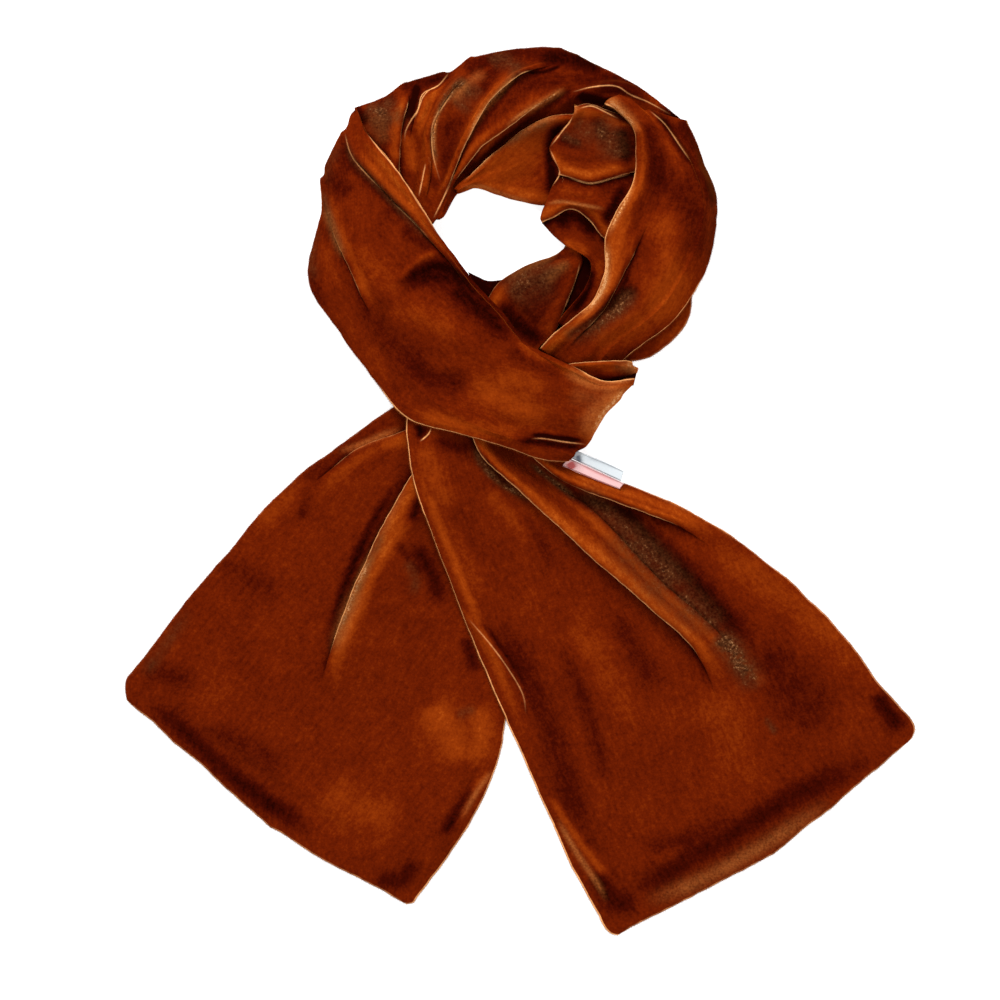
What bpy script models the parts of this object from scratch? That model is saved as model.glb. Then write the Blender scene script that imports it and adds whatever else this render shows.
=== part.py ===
"""A velvet scarf, folded in half, laid as a ring with its tails pulled through the loop, lying flat.

The scarf is one long bag of velvet, front and back panel sewn all round and turned out, so its wall is a
double cloth. Each stretch of it that shows from above is a wall of its own. A stretch is a table of folds: a
row is one edge, ridge or trough of the cloth, with the line that it follows over the table top. The wall runs
through those lines from one side of the stretch to the other. Stretches are laid from the table top upwards,
and each is lifted until it rests just clear of what it crosses.

Lengths are millimetres here and metres in the scene. +X is right, +Y is away from the tails, +Z is up. The
lines over the table top are read from the photograph by eye, in its pixels, and the scarf's real width gives
them their size.
"""
import math
from collections import namedtuple

import bmesh
import bpy
from mathutils import Vector
from mathutils.bvhtree import BVHTree

MM = 0.001

# The scarf's real width, which sets the scale of all that is read from the photograph
TAIL_WIDTH = 235.3          # across the right tail's hem
TAIL_WIDTH_PIXELS = 362     # the same hem in the photograph
PIXEL = TAIL_WIDTH / TAIL_WIDTH_PIXELS
START_PIXEL = (519, 491)    # the place on the right tail's long fold from which places are counted

# Sizes of the cloth and its folds
CLOTH = 3.0             # both panels of the turned bag, pile included
LABEL_CLOTH = 1.2       # a folded satin tab
SHOULDER = 3.2          # from a fold's edge back to its crest
SHOULDER_SHARE = 0.4    # a fold's shoulder takes no more than this of the way to the next row
LIP_SHARE = 0.5         # the cloth goes back under a fold's edge by no more than this share of its shoulder
SPLAY_SHARE = 0.25      # where a fold has died away, its foot stands this share of its shoulder ahead of it
ROLL = 2.0              # how far the cloth has turned down at the fold's edge
FADE = 0.14             # share of a stretch over which a fold rises or dies away
END_RUN = 0.08          # a fold's edge doesn't hang over within this share of a stretch's ends
TURN_RUN = 9.0          # over this length a stretch's end rolls down
TURN_SHARES = (0.0, 0.12, 0.4)
LOWEST_TOP = CLOTH      # the cloth's top where it lies on the table top
TUCK = 0.7              # under a fold, how far the underside keeps in from the point beside the fold to it
MAX_SLANT = 0.45        # how far a slanting wall is thickened downwards to keep the cloth's thickness
THINNEST = 0.5          # share of the cloth's thickness that the wall always keeps
FLAT_SNAP = 0.05        # lower than this, the underside lies on the table top
TANGENT_STEP = 0.01

# How a stretch is laid on those below it
GAP = 0.4               # air between stretches that lie on each other
SETTLE_ROUNDS = 5
SETTLE_SOFTNESS = 5     # how often a lift is evened out with its neighbours
SETTLED = 0.04          # a lift smaller than this is left out
PROBES_ALONG = 6        # how finely a cell of the wall's grid looks for what lies under it
PROBES_ACROSS = 4
SKY = 500.0             # above everything

# The hidden layers
CORE_THINNEST = 1.5     # where they are pressed flat
CORE_STEPS = 3          # sections from one row of the core's table to the next
CORE_GAP = 0.8
CORE_PROBE = 6.0        # how far round a point the core looks for what covers it
CORE_DIRECTIONS = 8     # in how many directions
CORE_BACK_STEP = 1.0    # how much a side of the core draws back at a time
LOW_SHARE = 0.4         # where the core is pressed flat, its lower points keep their order below its top
MIDDLE = Vector((0.5, 0.3, 0))      # the middle of the laid scarf, which becomes the part's own origin
UP = Vector((0, 0, 1))
DOWN = Vector((0, 0, -1))

COLLECTION = "velvet_scarf"
VELVET = (0.150, 0.014, 0.002)
VELVET_ROUGHNESS = 0.85
LABEL_WHITE = (0.62, 0.66, 0.68)
LABEL_PINK = (0.72, 0.40, 0.40)
LABEL_ROUGHNESS = 0.35

# A row of a stretch. lie: height of the cloth's top, evenly spaced from the stretch's start to its end.
# rise: how far the fold stands above that. lip: how far the cloth goes back under the fold's edge, positive
# where the edge faces the next row, negative where it faces the row before, 0 for a soft ridge or trough.
# since, until: the share of the stretch between which the fold stands. course: its line, seen from above, as
# pixels of the photograph.
Fold = namedtuple("Fold", "name lie rise lip since until course")

# along, between: wall sections along the stretch, and points between one row and the next.
# start_turn, end_turn: how far the stretch's ends roll down, where they are folds of the cloth.
Stretch = namedtuple("Stretch", "along between start_turn end_turn folds")

TAIL_LEFT = Stretch(18, 2, 0, 0, (
    Fold("outer_edge", (9, 3, 3, 3, 3), 0, 0, 0, 1,
         ((432, 392), (396, 406), (344, 442), (293, 483), (223, 559), (165, 645), (128, 700))),
    Fold("turned_side", (14, 6, 3, 3, 3), 4, -1.2, -1, 0.40,
         ((442, 404), (406, 430), (356, 450), (304, 494), (237, 569), (182, 649), (150, 719))),
    Fold("long_fold", (14, 8, 4, 3, 3), 8, -1.6, 0, 0.68,
         ((452, 418), (411, 476), (375, 542), (347, 604), (327, 666), (304, 745), (274, 823))),
    Fold("inner_panel", (12, 6, 3, 3, 3), 0, 0, 0, 1,
         ((462, 424), (448, 520), (427, 640), (390, 752), (341, 863))),
    Fold("curled_side", (10, 5, 3, 3, 3), 4, 0, 0.70, 0.98,
         ((474, 430), (497, 540), (501, 660), (493, 752), (471, 799), (439, 842), (390, 894))),
    Fold("inner_edge", (6, 4, 3, 3, 3), 0, 0, 0, 1,
         ((484, 434), (512, 540), (514, 660), (505, 724), (496, 768), (471, 820), (437, 865), (411, 905))),
))

TAIL_RIGHT = Stretch(18, 2, 0, 0, (
    Fold("inner_edge", (10, 8, 3, 3, 3), 0, 0, 0, 1,
         ((420, 388), (407, 420), (411, 469), (432, 533), (481, 660), (530, 772), (575, 870), (613, 934))),
    Fold("side_fold", (14, 8, 3, 3, 3), 2, 0, 0.25, 0.60,
         ((432, 396), (421, 440), (436, 510), (471, 612), (507, 672), (525, 716), (580, 820), (645, 923))),
    Fold("flat_panel", (14, 6, 3, 3, 3), 0, 0, 0, 1,
         ((448, 404), (460, 469), (524, 580), (596, 709), (654, 820), (698, 895))),
    Fold("long_fold", (15, 8, 4, 3, 3), 11, -1.6, -1, 0.62,
         ((466, 412), (475, 442), (485, 460), (519, 491), (593, 558), (652, 610), (697, 656), (739, 760),
          (770, 856))),
    Fold("crushed_fold", (10, 4, 3, 3, 3), 5, 1.2, 0.12, 0.70,
         ((496, 422), (530, 466), (590, 508), (660, 580), (720, 636), (757, 682), (796, 745), (830, 809))),
    Fold("short_fold", (14, 7, 3, 3, 3), 8, -1.4, -1, 0.46,
         ((524, 432), (534, 460), (575, 486), (645, 512), (690, 532), (762, 595), (822, 679), (873, 772))),
    Fold("outer_edge", (8, 4, 3, 3, 3), 0, 0, 0, 1,
         ((560, 440), (572, 470), (624, 484), (698, 516), (786, 579), (846, 640), (887, 698), (912, 728))),
))

FRONT_BAND = Stretch(17, 2, 12, 8, (
    Fold("outer_edge", (6, 4, 4, 10, 20), 0, 0, 0, 1,
         ((320, 189), (322, 209), (314, 236), (308, 265), (313, 292), (337, 328), (370, 372), (407, 417),
          (455, 433), (502, 446), (541, 460), (573, 463))),
    Fold("side_fold", (12, 20, 18, 18, 25), 4, -1.2, 0.02, 0.42,
         ((324, 179), (328, 205), (333, 229), (344, 256), (365, 303), (397, 362), (445, 408), (491, 431),
          (537, 445), (580, 456))),
    Fold("lip_trough", (16, 28, 27, 23, 27), -6, 0, 0.74, 2,
         ((328, 168), (339, 199), (350, 229), (362, 257), (384, 300), (417, 345), (454, 388), (493, 417),
          (527, 434), (544, 437), (564, 442), (588, 446))),
    Fold("body", (18, 31, 34, 33, 30), 0, 0, 0, 1,
         ((333, 157), (348, 189), (364, 217), (390, 260), (421, 306), (461, 346), (508, 382), (557, 412),
          (600, 432))),
    Fold("dented_body", (19, 32, 37, 37, 34), -4, 0, 0.30, 0.62,
         ((339, 145), (354, 174), (379, 203), (413, 245), (448, 288), (488, 329), (539, 371), (584, 399),
          (614, 414))),
    Fold("crushed_fold", (19, 31, 36, 36, 34), 4, -1.0, 0.02, 0.58,
         ((345, 133), (353, 156), (368, 176), (397, 206), (430, 240), (462, 280), (496, 320), (534, 357),
          (582, 386), (625, 399))),
    Fold("inner_edge", (12, 15, 18, 22, 22), 9, 1.4, 0.02, 2,
         ((359, 109), (366, 134), (390, 162), (420, 206), (447, 247), (478, 287), (507, 318), (528, 345),
          (568, 365), (604, 382), (634, 380))),
))

RING_TOP = Stretch(14, 1, 0, 0, (
    Fold("hidden_side", (14, 14, 14, 12, 6), 0, 0, 0, 1,
         ((384, 226), (377, 189), (367, 159), (360, 129), (360, 106))),
    Fold("left_panel", (16, 19, 21, 18, 6), 0, 0, 0, 1,
         ((391, 226), (388, 185), (379, 152), (371, 129), (374, 112), (379, 99))),
    Fold("first_fold", (17, 20, 23, 20, 6), 5, 1.2, 0.12, 0.96,
         ((399, 228), (400, 179), (400, 156), (404, 126), (408, 106), (402, 85))),
    Fold("second_fold", (17, 19, 20, 18, 6), 5, -1.2, 0.12, 0.96,
         ((405, 228), (410, 186), (410, 156), (413, 131), (417, 112), (424, 96), (437, 85), (444, 72))),
    Fold("small_fold", (18, 21, 24, 22, 6), 2, 0, 0.05, 0.45,
         ((411, 228), (417, 196), (421, 174), (421, 149), (425, 122), (436, 100), (451, 85), (459, 72))),
    Fold("crushed_ridge", (18, 23, 27, 25, 6), 3, 1.0, 0.10, 0.90,
         ((417, 228), (430, 189), (431, 165), (431, 142), (436, 122), (448, 100), (465, 80), (480, 57))),
    Fold("panel", (19, 24, 29, 27, 6), 0, 0, 0, 1,
         ((425, 226), (441, 186), (453, 149), (467, 119), (484, 89), (504, 66), (520, 48))),
    Fold("long_fold", (20, 25, 30, 28, 6), 7, 1.4, 0.10, 0.92,
         ((433, 225), (450, 188), (464, 151), (487, 108), (505, 89), (521, 77), (537, 71), (553, 65),
          (564, 49))),
    Fold("inner_fold", (20, 24, 28, 26, 6), 7, 1.4, 0.10, 0.80,
         ((441, 222), (456, 186), (479, 152), (499, 137), (531, 112), (553, 96), (565, 82), (574, 69),
          (582, 57))),
    Fold("upper_panel", (19, 15, 14, 20, 6), 0, 0, 0, 1,
         ((448, 219), (464, 185), (487, 159), (514, 136), (547, 112), (571, 94), (590, 82), (611, 72))),
    Fold("thin_fold", (17, 10, 10, 18, 6), 4, 0, 0.45, 0.98,
         ((456, 214), (471, 186), (494, 165), (528, 137), (562, 109), (588, 92), (611, 86), (630, 86),
          (647, 92))),
    Fold("hidden_end", (14, 6, 5, 6, 5), 0, 0, 0, 1,
         ((464, 208), (480, 189), (507, 174), (544, 149), (584, 128), (622, 119), (657, 122), (685, 123))),
))

RING_INNER = Stretch(10, 2, 0, 0, (
    Fold("upper_edge", (8, 9, 10, 11, 12), 4, -1.2, 0.05, 2,
         ((456, 191), (482, 165), (500, 150), (517, 132), (557, 113), (596, 104))),
    Fold("panel", (9, 10, 11, 11, 11), 0, 0, 0, 1,
         ((457, 192), (484, 177), (516, 164), (552, 148), (594, 132))),
    Fold("hole_edge", (4, 4, 4, 4, 4), 4, 1.2, 0.05, 2,
         ((459, 194), (478, 189), (502, 196), (527, 204), (545, 205), (568, 199))),
))

RING_CRUMPLE = Stretch(6, 1, 6, 0, (
    Fold("top_edge", (12, 16, 16, 12), 4, -1.2, -1, 2,
         ((572, 106), (588, 108), (612, 114), (644, 124))),
    Fold("brow", (18, 24, 24, 18), 0, 0, 0, 1,
         ((570, 124), (590, 122), (618, 126), (650, 134))),
    Fold("cheek", (18, 26, 26, 18), 0, 0, 0, 1,
         ((550, 150), (575, 148), (610, 150), (652, 154))),
    Fold("upper_fold", (14, 19, 19, 14), 5, 1.2, -1, 1,
         ((558, 176), (572, 180), (591, 185), (615, 179), (652, 170))),
    Fold("waist", (12, 21, 21, 16), 0, 0, 0, 1,
         ((550, 191), (570, 194), (600, 196), (650, 190))),
    Fold("seam_ridge", (12, 22, 22, 16), 2, 0, -1, 2,
         ((543, 208), (563, 205), (590, 210), (645, 212))),
    Fold("lower_fold", (10, 14, 14, 14), 6, 1.2, -1, 0.9,
         ((546, 224), (556, 218), (572, 211), (587, 220), (602, 238), (632, 252))),
    Fold("neck", (6, 12, 12, 12), 0, 0, 0, 1,
         ((562, 243), (576, 242), (594, 252), (622, 268))),
    Fold("tongue", (10, 12, 12, 12), 0, 0, 0, 1,
         ((588, 262), (598, 268), (624, 284))),
    Fold("tongue_low", (10, 12, 12, 12), 0, 0, 0, 1,
         ((588, 280), (598, 290), (616, 304))),
    Fold("tongue_tip", (8, 10, 10, 10), 0, 0, 0, 1,
         ((558, 324), (566, 330), (584, 344))),
))

RING_UNDER = Stretch(8, 2, 0, 0, (
    Fold("hole_edge", (4, 4, 4, 5, 5), 4, -1.2, -1, 2,
         ((566, 246), (541, 260), (523, 270), (500, 283), (486, 300), (480, 316))),
    Fold("panel", (8, 8, 8, 8, 8), 3, 0, 0.1, 0.8,
         ((574, 248), (562, 266), (540, 288), (516, 318), (506, 340))),
    Fold("free_edge", (6, 6, 6, 6, 6), 3, 1.0, -1, 2,
         ((582, 252), (587, 266), (578, 289), (567, 312), (553, 342), (546, 360))),
))

RING_LOBE = Stretch(18, 1, 10, 0, (
    Fold("inner_edge", (14, 15, 17, 15, 8), 10, -1.4, -1, 2,
         ((604, 106), (614, 112), (633, 134), (634, 160), (630, 190), (615, 215), (603, 240), (603, 275),
          (590, 303), (570, 322), (556, 332), (541, 349))),
    Fold("crushed_ridge", (25, 29, 31, 29, 16), 2, 0, 0.1, 2,
         ((610, 100), (624, 114), (642, 136), (644, 164), (639, 194), (624, 222), (613, 248), (610, 276),
          (598, 303), (578, 325), (564, 337), (548, 356))),
    Fold("rolled_fold", (24, 29, 32, 29, 16), 4, 1.0, 0.45, 0.98,
         ((618, 97), (638, 116), (656, 143), (659, 180), (648, 220), (631, 259), (613, 295), (590, 326),
          (574, 340), (559, 360))),
    Fold("body", (20, 30, 34, 31, 18), 0, 0, 0, 1,
         ((631, 102), (651, 125), (674, 159), (684, 200), (674, 246), (651, 289), (624, 322), (596, 343),
          (574, 366))),
    Fold("ridge", (18, 26, 28, 26, 16), 3, 1.0, -1, 0.40,
         ((648, 111), (664, 126), (678, 143), (693, 171), (702, 200), (696, 245), (674, 288), (645, 320),
          (610, 348), (588, 372))),
    Fold("outer_turn", (12, 19, 21, 20, 12), 0, 0, 0, 1,
         ((670, 117), (682, 134), (694, 159), (705, 183), (708, 217), (700, 254), (682, 289), (657, 319),
          (621, 349), (599, 376))),
    Fold("outer_edge", (5, 4, 4, 4, 5), 0, 0, 0, 1,
         ((687, 122), (694, 139), (704, 162), (714, 188), (717, 217), (710, 258), (694, 292), (673, 322),
          (641, 346), (625, 359), (608, 380))),
))

RING_LOWER = Stretch(8, 1, 0, 0, (
    Fold("outer_edge", (3, 3, 3, 3, 3), 0, 0, 0, 1,
         ((693, 292), (692, 312), (682, 330), (662, 348), (642, 359), (620, 362))),
    Fold("hidden_side", (5, 5, 5, 5, 5), 0, 0, 0, 1,
         ((674, 296), (670, 316), (657, 331), (642, 342), (617, 346))),
))

LOOP_RETURN = Stretch(8, 2, 0, 8, (
    Fold("upper_edge", (16, 17, 18, 19, 18), 5, -1.0, -1, 2,
         ((565, 365), (587, 362), (610, 360), (631, 362))),
    Fold("middle", (19, 20, 22, 24, 22), 0, 0, 0, 1,
         ((565, 371), (588, 371), (611, 370), (636, 370))),
    Fold("lower_edge", (18, 19, 20, 20, 18), 0, 0, 0, 1,
         ((565, 377), (588, 379), (611, 380), (634, 377))),
))

# A section of the hidden layers: its middle, half its width across the ring, and its height
Section = namedtuple("Section", "x y half_width height")

CORE_SECTIONS = (
    Section(-100, 160, 19, 26),
    Section(-84, 208, 14, 24),
    Section(-52, 236, 16, 24),
    Section(0, 250, 16, 26),
    Section(54, 232, 18, 24),
    Section(86, 192, 19, 30),
    Section(84, 148, 18, 30),
    Section(58, 112, 18, 28),
    Section(12, 78, 20, 26),
    Section(-34, 82, 24, 28),
    Section(-74, 114, 25, 30),
)

# The core's profile, from the hole to the outside: shares of its half width and of its height
CORE_PROFILE = (
    (-0.96, 0.0), (-1.0, 0.2), (-0.9, 0.5), (-0.6, 0.84), (-0.2, 1.0), (0.2, 1.0), (0.6, 0.84), (0.9, 0.5),
    (1.0, 0.2), (0.96, 0.0),
)

LABEL_PINK_TAB = Stretch(6, 1, 0, 0, (
    Fold("lower_side", (11, 12, 12), 0, 0, 0, 1, ((570, 471), (594, 480), (619, 490))),
    Fold("upper_side", (12, 13, 13), 0, 0, 0, 1, ((576, 462), (600, 473), (625, 484))),
))

LABEL_WHITE_TAB = Stretch(6, 1, 0, 0, (
    Fold("lower_side", (12, 14, 14), 0, 0, 0, 1, ((578, 460), (600, 471), (621, 479))),
    Fold("upper_side", (14, 16, 15), 0, 0, 0, 1, ((579, 454), (604, 462), (623, 471))),
))

# From the table top upwards
VELVET_STRETCHES = (
    ("tail_left", TAIL_LEFT),
    ("tail_right", TAIL_RIGHT),
    ("ring_lower", RING_LOWER),
    ("ring_under", RING_UNDER),
    ("ring_top", RING_TOP),
    ("ring_inner", RING_INNER),
    ("ring_crumple", RING_CRUMPLE),
    ("ring_lobe", RING_LOBE),
    ("loop_return", LOOP_RETURN),
    ("front_band", FRONT_BAND),
)


def on_table(course):
    """A line read from the photograph, to the nearest millimetre on the table top."""
    start_x, start_y = START_PIXEL
    return [(round((x - start_x) * PIXEL), round((start_y - y) * PIXEL)) for x, y in course]


def full_size(stretch):
    """A stretch whose courses are millimetres on the table top."""
    return stretch._replace(folds=[fold._replace(course=on_table(fold.course)) for fold in stretch.folds])


def spread(points):
    """Shares from 0 to 1 at which a line reaches each of its points."""
    steps = [0.0]
    for near, far in zip(points, points[1:]):
        steps.append(steps[-1] + max(math.dist(near, far), 1e-6))
    return [step / steps[-1] for step in steps]


def smooth_line(points, shares, at):
    """A point of the smooth curve through some points, which it reaches at the given shares."""
    last = len(points) - 1
    i = 0
    while i < last - 1 and at > shares[i + 1]:
        i += 1

    def slope(k):
        low, high = max(k - 1, 0), min(k + 1, last)
        run = shares[high] - shares[low]
        return [(b - a) / run for a, b in zip(points[low], points[high])]

    run = shares[i + 1] - shares[i]
    s = (at - shares[i]) / run
    weights = (2*s**3 - 3*s**2 + 1, (s**3 - 2*s**2 + s) * run, 3*s**2 - 2*s**3, (s**3 - s**2) * run)
    sources = (points[i], slope(i), points[i + 1], slope(i + 1))
    return [sum(w * source[axis] for w, source in zip(weights, sources)) for axis in range(len(points[0]))]


def even_value(values, at):
    """A value of the smooth curve through values that are evenly spaced from 0 to 1."""
    shares = [k / (len(values) - 1) for k in range(len(values))]
    return smooth_line([(v,) for v in values], shares, at)[0]


def ease(low, high, at):
    """0 below low, 1 above high, and a soft rise between."""
    s = min(max((at - low) / (high - low), 0.0), 1.0)
    return s * s * (3 - 2*s)


def fold_strength(fold, at):
    """How much of a fold's rise stands at a share of the stretch."""
    return ease(fold.since, fold.since + FADE, at) * (1 - ease(fold.until - FADE, fold.until, at))


def turned_down(drop, distance):
    """How far the cloth has rolled down at a distance from the stretch's end."""
    part = 1 - min(distance / TURN_RUN, 1.0)
    return drop * (1 - math.sqrt(1 - part * part))


def course_length(stretch):
    middle = stretch.folds[len(stretch.folds) // 2].course
    return sum(math.dist(near, far) for near, far in zip(middle, middle[1:]))


def stations(stretch):
    """The shares of a stretch at which it gets a section: even ones, and close ones where an end rolls."""
    length = course_length(stretch)
    run = TURN_RUN / length
    low = run if stretch.start_turn else 0.0
    high = 1 - run if stretch.end_turn else 1.0
    shares = [low + (high - low) * step / stretch.along for step in range(stretch.along + 1)]
    if stretch.start_turn:
        shares = [run * part for part in TURN_SHARES] + shares
    if stretch.end_turn:
        shares += [1 - run * part for part in reversed(TURN_SHARES)]
    return shares


def course_point(fold, at):
    return smooth_line(fold.course, spread(fold.course), min(max(at, 0.0), 1.0))


def wall_section(stretch, at):
    """The cloth's top at one share of a stretch, as points from its first row to its last."""
    folds = stretch.folds
    length = course_length(stretch)
    rolled = turned_down(stretch.start_turn, at * length) + turned_down(stretch.end_turn, (1 - at) * length)
    places = [course_point(fold, at) for fold in folds]
    knots = []
    for i, fold in enumerate(folds):
        here = Vector(places[i])
        low, high = max(i - 1, 0), min(i + 1, len(folds) - 1)
        ahead, behind = course_point(fold, at + TANGENT_STEP), course_point(fold, at - TANGENT_STEP)
        tangent = Vector(ahead) - Vector(behind)
        section = (Vector(places[high]) - Vector(places[low])).normalized()
        square = Vector((-tangent.y, tangent.x)).normalized()
        if square.dot(section) < 0:
            square = -square
        across = (square + section).normalized()
        strength = fold_strength(fold, at) if fold.rise else 0.0
        lie = max(even_value(fold.lie, at) - rolled, LOWEST_TOP)
        top = lie + fold.rise * strength
        if not fold.lip:
            knots.append((here.x, here.y, top))
            continue
        side = math.copysign(1, fold.lip)
        room = min((Vector(places[k]) - here).length for k in (low, high) if k != i)
        shoulder = min(SHOULDER, room * SHOULDER_SHARE)
        crest = here - across * side * shoulder
        strong = strength * ease(0, END_RUN, at) * (1 - ease(1 - END_RUN, 1, at))
        lip = min(abs(fold.lip), shoulder * LIP_SHARE) * strong - shoulder * SPLAY_SHARE * (1 - strong)
        foot = here - across * side * lip
        fold_knots = [(crest.x, crest.y, top), (here.x, here.y, top - ROLL * strength), (foot.x, foot.y, lie)]
        knots.extend(fold_knots if side > 0 else reversed(fold_knots))
    return knots


def fill_section(knots, stretch):
    """Add the points between rows, on a smooth curve, and keep a fold's own three points together."""
    shares = spread(knots)
    points = []
    k = 0
    for i, fold in enumerate(stretch.folds):
        own = 3 if fold.lip else 1
        points.extend(knots[k:k + own])
        k += own
        if i == len(stretch.folds) - 1:
            break
        for step in range(1, stretch.between + 1):
            part = step / (stretch.between + 1)
            at = shares[k - 1] + (shares[k] - shares[k - 1]) * part
            points.append(tuple(smooth_line(knots, shares, at)))
    return points


def surface_grid(stretch):
    """Rows of points over a stretch: one row for each wall section."""
    return [[Vector(p) for p in fill_section(wall_section(stretch, at), stretch)] for at in stations(stretch)]


def own_columns(stretch):
    """For each column of a stretch's grid: whether it is one of a lipped fold's own three points."""
    columns = []
    for fold in stretch.folds[:-1]:
        columns += [bool(fold.lip)] * (3 if fold.lip else 1) + [False] * stretch.between
    return columns + [bool(stretch.folds[-1].lip)] * (3 if stretch.folds[-1].lip else 1)


def steepness(grid, i, j):
    """The upward part of the normal at a grid point, from its neighbours."""
    along = grid[min(i + 1, len(grid) - 1)][j] - grid[max(i - 1, 0)][j]
    across = grid[i][min(j + 1, len(grid[0]) - 1)] - grid[i][max(j - 1, 0)]
    normal = across.cross(along)
    return abs(normal.z) / max(normal.length, 1e-9)


def underside(grid, stretch, cloth):
    """The wall's lower face: under folds as low as the cloth beside them, elsewhere one cloth down."""
    owned = own_columns(stretch)
    lower = [[p.copy() for p in line] for line in grid]
    last = len(owned) - 1
    for i, line in enumerate(lower):
        j = 0
        while j <= last:
            if not owned[j]:
                line[j].z -= cloth / max(steepness(grid, i, j), MAX_SLANT)
                j += 1
                continue
            floor = min(grid[i][k].z for k in range(max(j - 1, 0), min(j + 4, last + 1))) - cloth
            first_side = grid[i][j] if j == 0 else grid[i][j - 1].lerp(grid[i][j], TUCK)
            last_side = grid[i][j + 2] if j + 2 == last else grid[i][j + 3].lerp(grid[i][j + 2], TUCK)
            for step in range(3):
                line[j + step] = first_side.lerp(last_side, step / 2)
                line[j + step].z = floor
            j += 3
    for line in lower:
        for point in line:
            if point.z < FLAT_SNAP:
                point.z = 0.0
    return lower


def top_of(laid, x, y):
    """The highest point, at a place on the table top, of what is laid already."""
    highest = 0.0
    for tree in laid:
        hit = tree.ray_cast(Vector((x, y, SKY)), DOWN)[0]
        if hit is not None:
            highest = max(highest, hit.z)
    return highest


def cell_points(corners):
    """Points spread over the cell between four grid points."""
    first, second, third, fourth = corners
    for along in range(PROBES_ALONG + 1):
        near = first.lerp(third, along / PROBES_ALONG)
        far = second.lerp(fourth, along / PROBES_ALONG)
        for across in range(PROBES_ACROSS + 1):
            yield near.lerp(far, across / PROBES_ACROSS)


def tops_below(laid, faces):
    """For each grid point, the highest point of what lies under the cells round it."""
    rows, columns = len(faces[0]), len(faces[0][0])
    highest = [[0.0] * columns for _ in range(rows)]
    for face in faces:
        for i in range(rows - 1):
            for j in range(columns - 1):
                places = ((i, j), (i, j + 1), (i + 1, j), (i + 1, j + 1))
                top = max(top_of(laid, p.x, p.y) for p in cell_points([face[a][b] for a, b in places]))
                for a, b in places:
                    highest[a][b] = max(highest[a][b], top)
    return highest


def settle(grid, stretch, laid, cloth):
    """Lift a stretch until its underside is clear of all below it, with soft slopes round each lift."""
    rows, columns = len(grid), len(grid[0])
    for _ in range(SETTLE_ROUNDS):
        lower = underside(grid, stretch, cloth)
        tops = tops_below(laid, (grid, lower))
        need = [[max(0.0, tops[i][j] + GAP - lower[i][j].z) if tops[i][j] else 0.0 for j in range(columns)]
                for i in range(rows)]
        if max(max(line) for line in need) < SETTLED:
            return
        lift = [line[:] for line in need]
        for _ in range(SETTLE_SOFTNESS):
            soft = [line[:] for line in lift]
            for i in range(rows):
                for j in range(columns):
                    near = [lift[a][b] for a in range(max(i - 1, 0), min(i + 2, rows))
                            for b in range(max(j - 1, 0), min(j + 2, columns))]
                    soft[i][j] = max(need[i][j], sum(near) / len(near))
            lift = soft
        for i in range(rows):
            for j in range(columns):
                grid[i][j].z += lift[i][j]


def clear_underside(grid, stretch, laid, cloth):
    """The underside of a settled stretch, raised by what little it still lacks, and its top with it."""
    lower = underside(grid, stretch, cloth)
    tops = tops_below(laid, (grid, lower))
    for i in range(len(grid)):
        for j in range(len(grid[0])):
            if tops[i][j]:
                lower[i][j].z = max(lower[i][j].z, tops[i][j] + GAP)
                grid[i][j].z = max(grid[i][j].z, lower[i][j].z + cloth * THINNEST)
    return lower


def cloth_material(name, colour, roughness):
    material = bpy.data.materials.new(name)
    material.use_nodes = True
    shader = material.node_tree.nodes["Principled BSDF"]
    shader.inputs["Base Color"].default_value = (*colour, 1)
    shader.inputs["Roughness"].default_value = roughness
    shader.inputs["Metallic"].default_value = 0
    material.diffuse_color = (*colour, 1)
    return material


def add_object(name, mesh, material):
    thing = bpy.data.objects.new(name, mesh)
    mesh.materials.append(material)
    bpy.data.collections[COLLECTION].objects.link(thing)
    return thing


def closed_mesh(name, points, faces):
    mesh = bpy.data.meshes.new(name)
    mesh.from_pydata(points, [], faces)
    body = bmesh.new()
    body.from_mesh(mesh)
    bmesh.ops.recalc_face_normals(body, faces=body.faces)
    body.to_mesh(mesh)
    body.free()
    mesh.shade_smooth()
    return mesh


def cell_triangles(a, b, c, d, points):
    """The two triangles of a four-sided cell, split along its shorter diagonal."""
    if math.dist(points[a], points[c]) <= math.dist(points[b], points[d]):
        return (a, b, c), (a, c, d)
    return (a, b, d), (b, c, d)


def loft_mesh(name, upper, lower):
    """A closed solid between two grids of points: the wall's two faces differ, so they are lofted."""
    rows, columns = len(upper), len(upper[0])
    points = [tuple((p - MIDDLE) * MM) for grid in (upper, lower) for line in grid for p in line]
    below = rows * columns
    faces = []
    for i in range(rows - 1):
        for j in range(columns - 1):
            a = i * columns + j
            for triangle in cell_triangles(a, a + 1, a + columns + 1, a + columns, points):
                faces.append(triangle)
                faces.append(tuple(below + k for k in reversed(triangle)))
    rim = [(0, j) for j in range(columns)] + [(i, columns - 1) for i in range(1, rows)]
    rim += [(rows - 1, j) for j in range(columns - 2, -1, -1)] + [(i, 0) for i in range(rows - 2, 0, -1)]
    ring = [i * columns + j for i, j in rim]
    for a, b in zip(ring, ring[1:] + ring[:1]):
        faces.append((b, a, below + a))
        faces.append((b, below + a, below + b))
    return closed_mesh(name, points, faces)


def search_tree(thing):
    """A search tree of a finished solid, in the tables' own millimetres."""
    points = [vertex.co / MM + MIDDLE for vertex in thing.data.vertices]
    return BVHTree.FromPolygons(points, [tuple(p.vertices) for p in thing.data.polygons])


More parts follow.
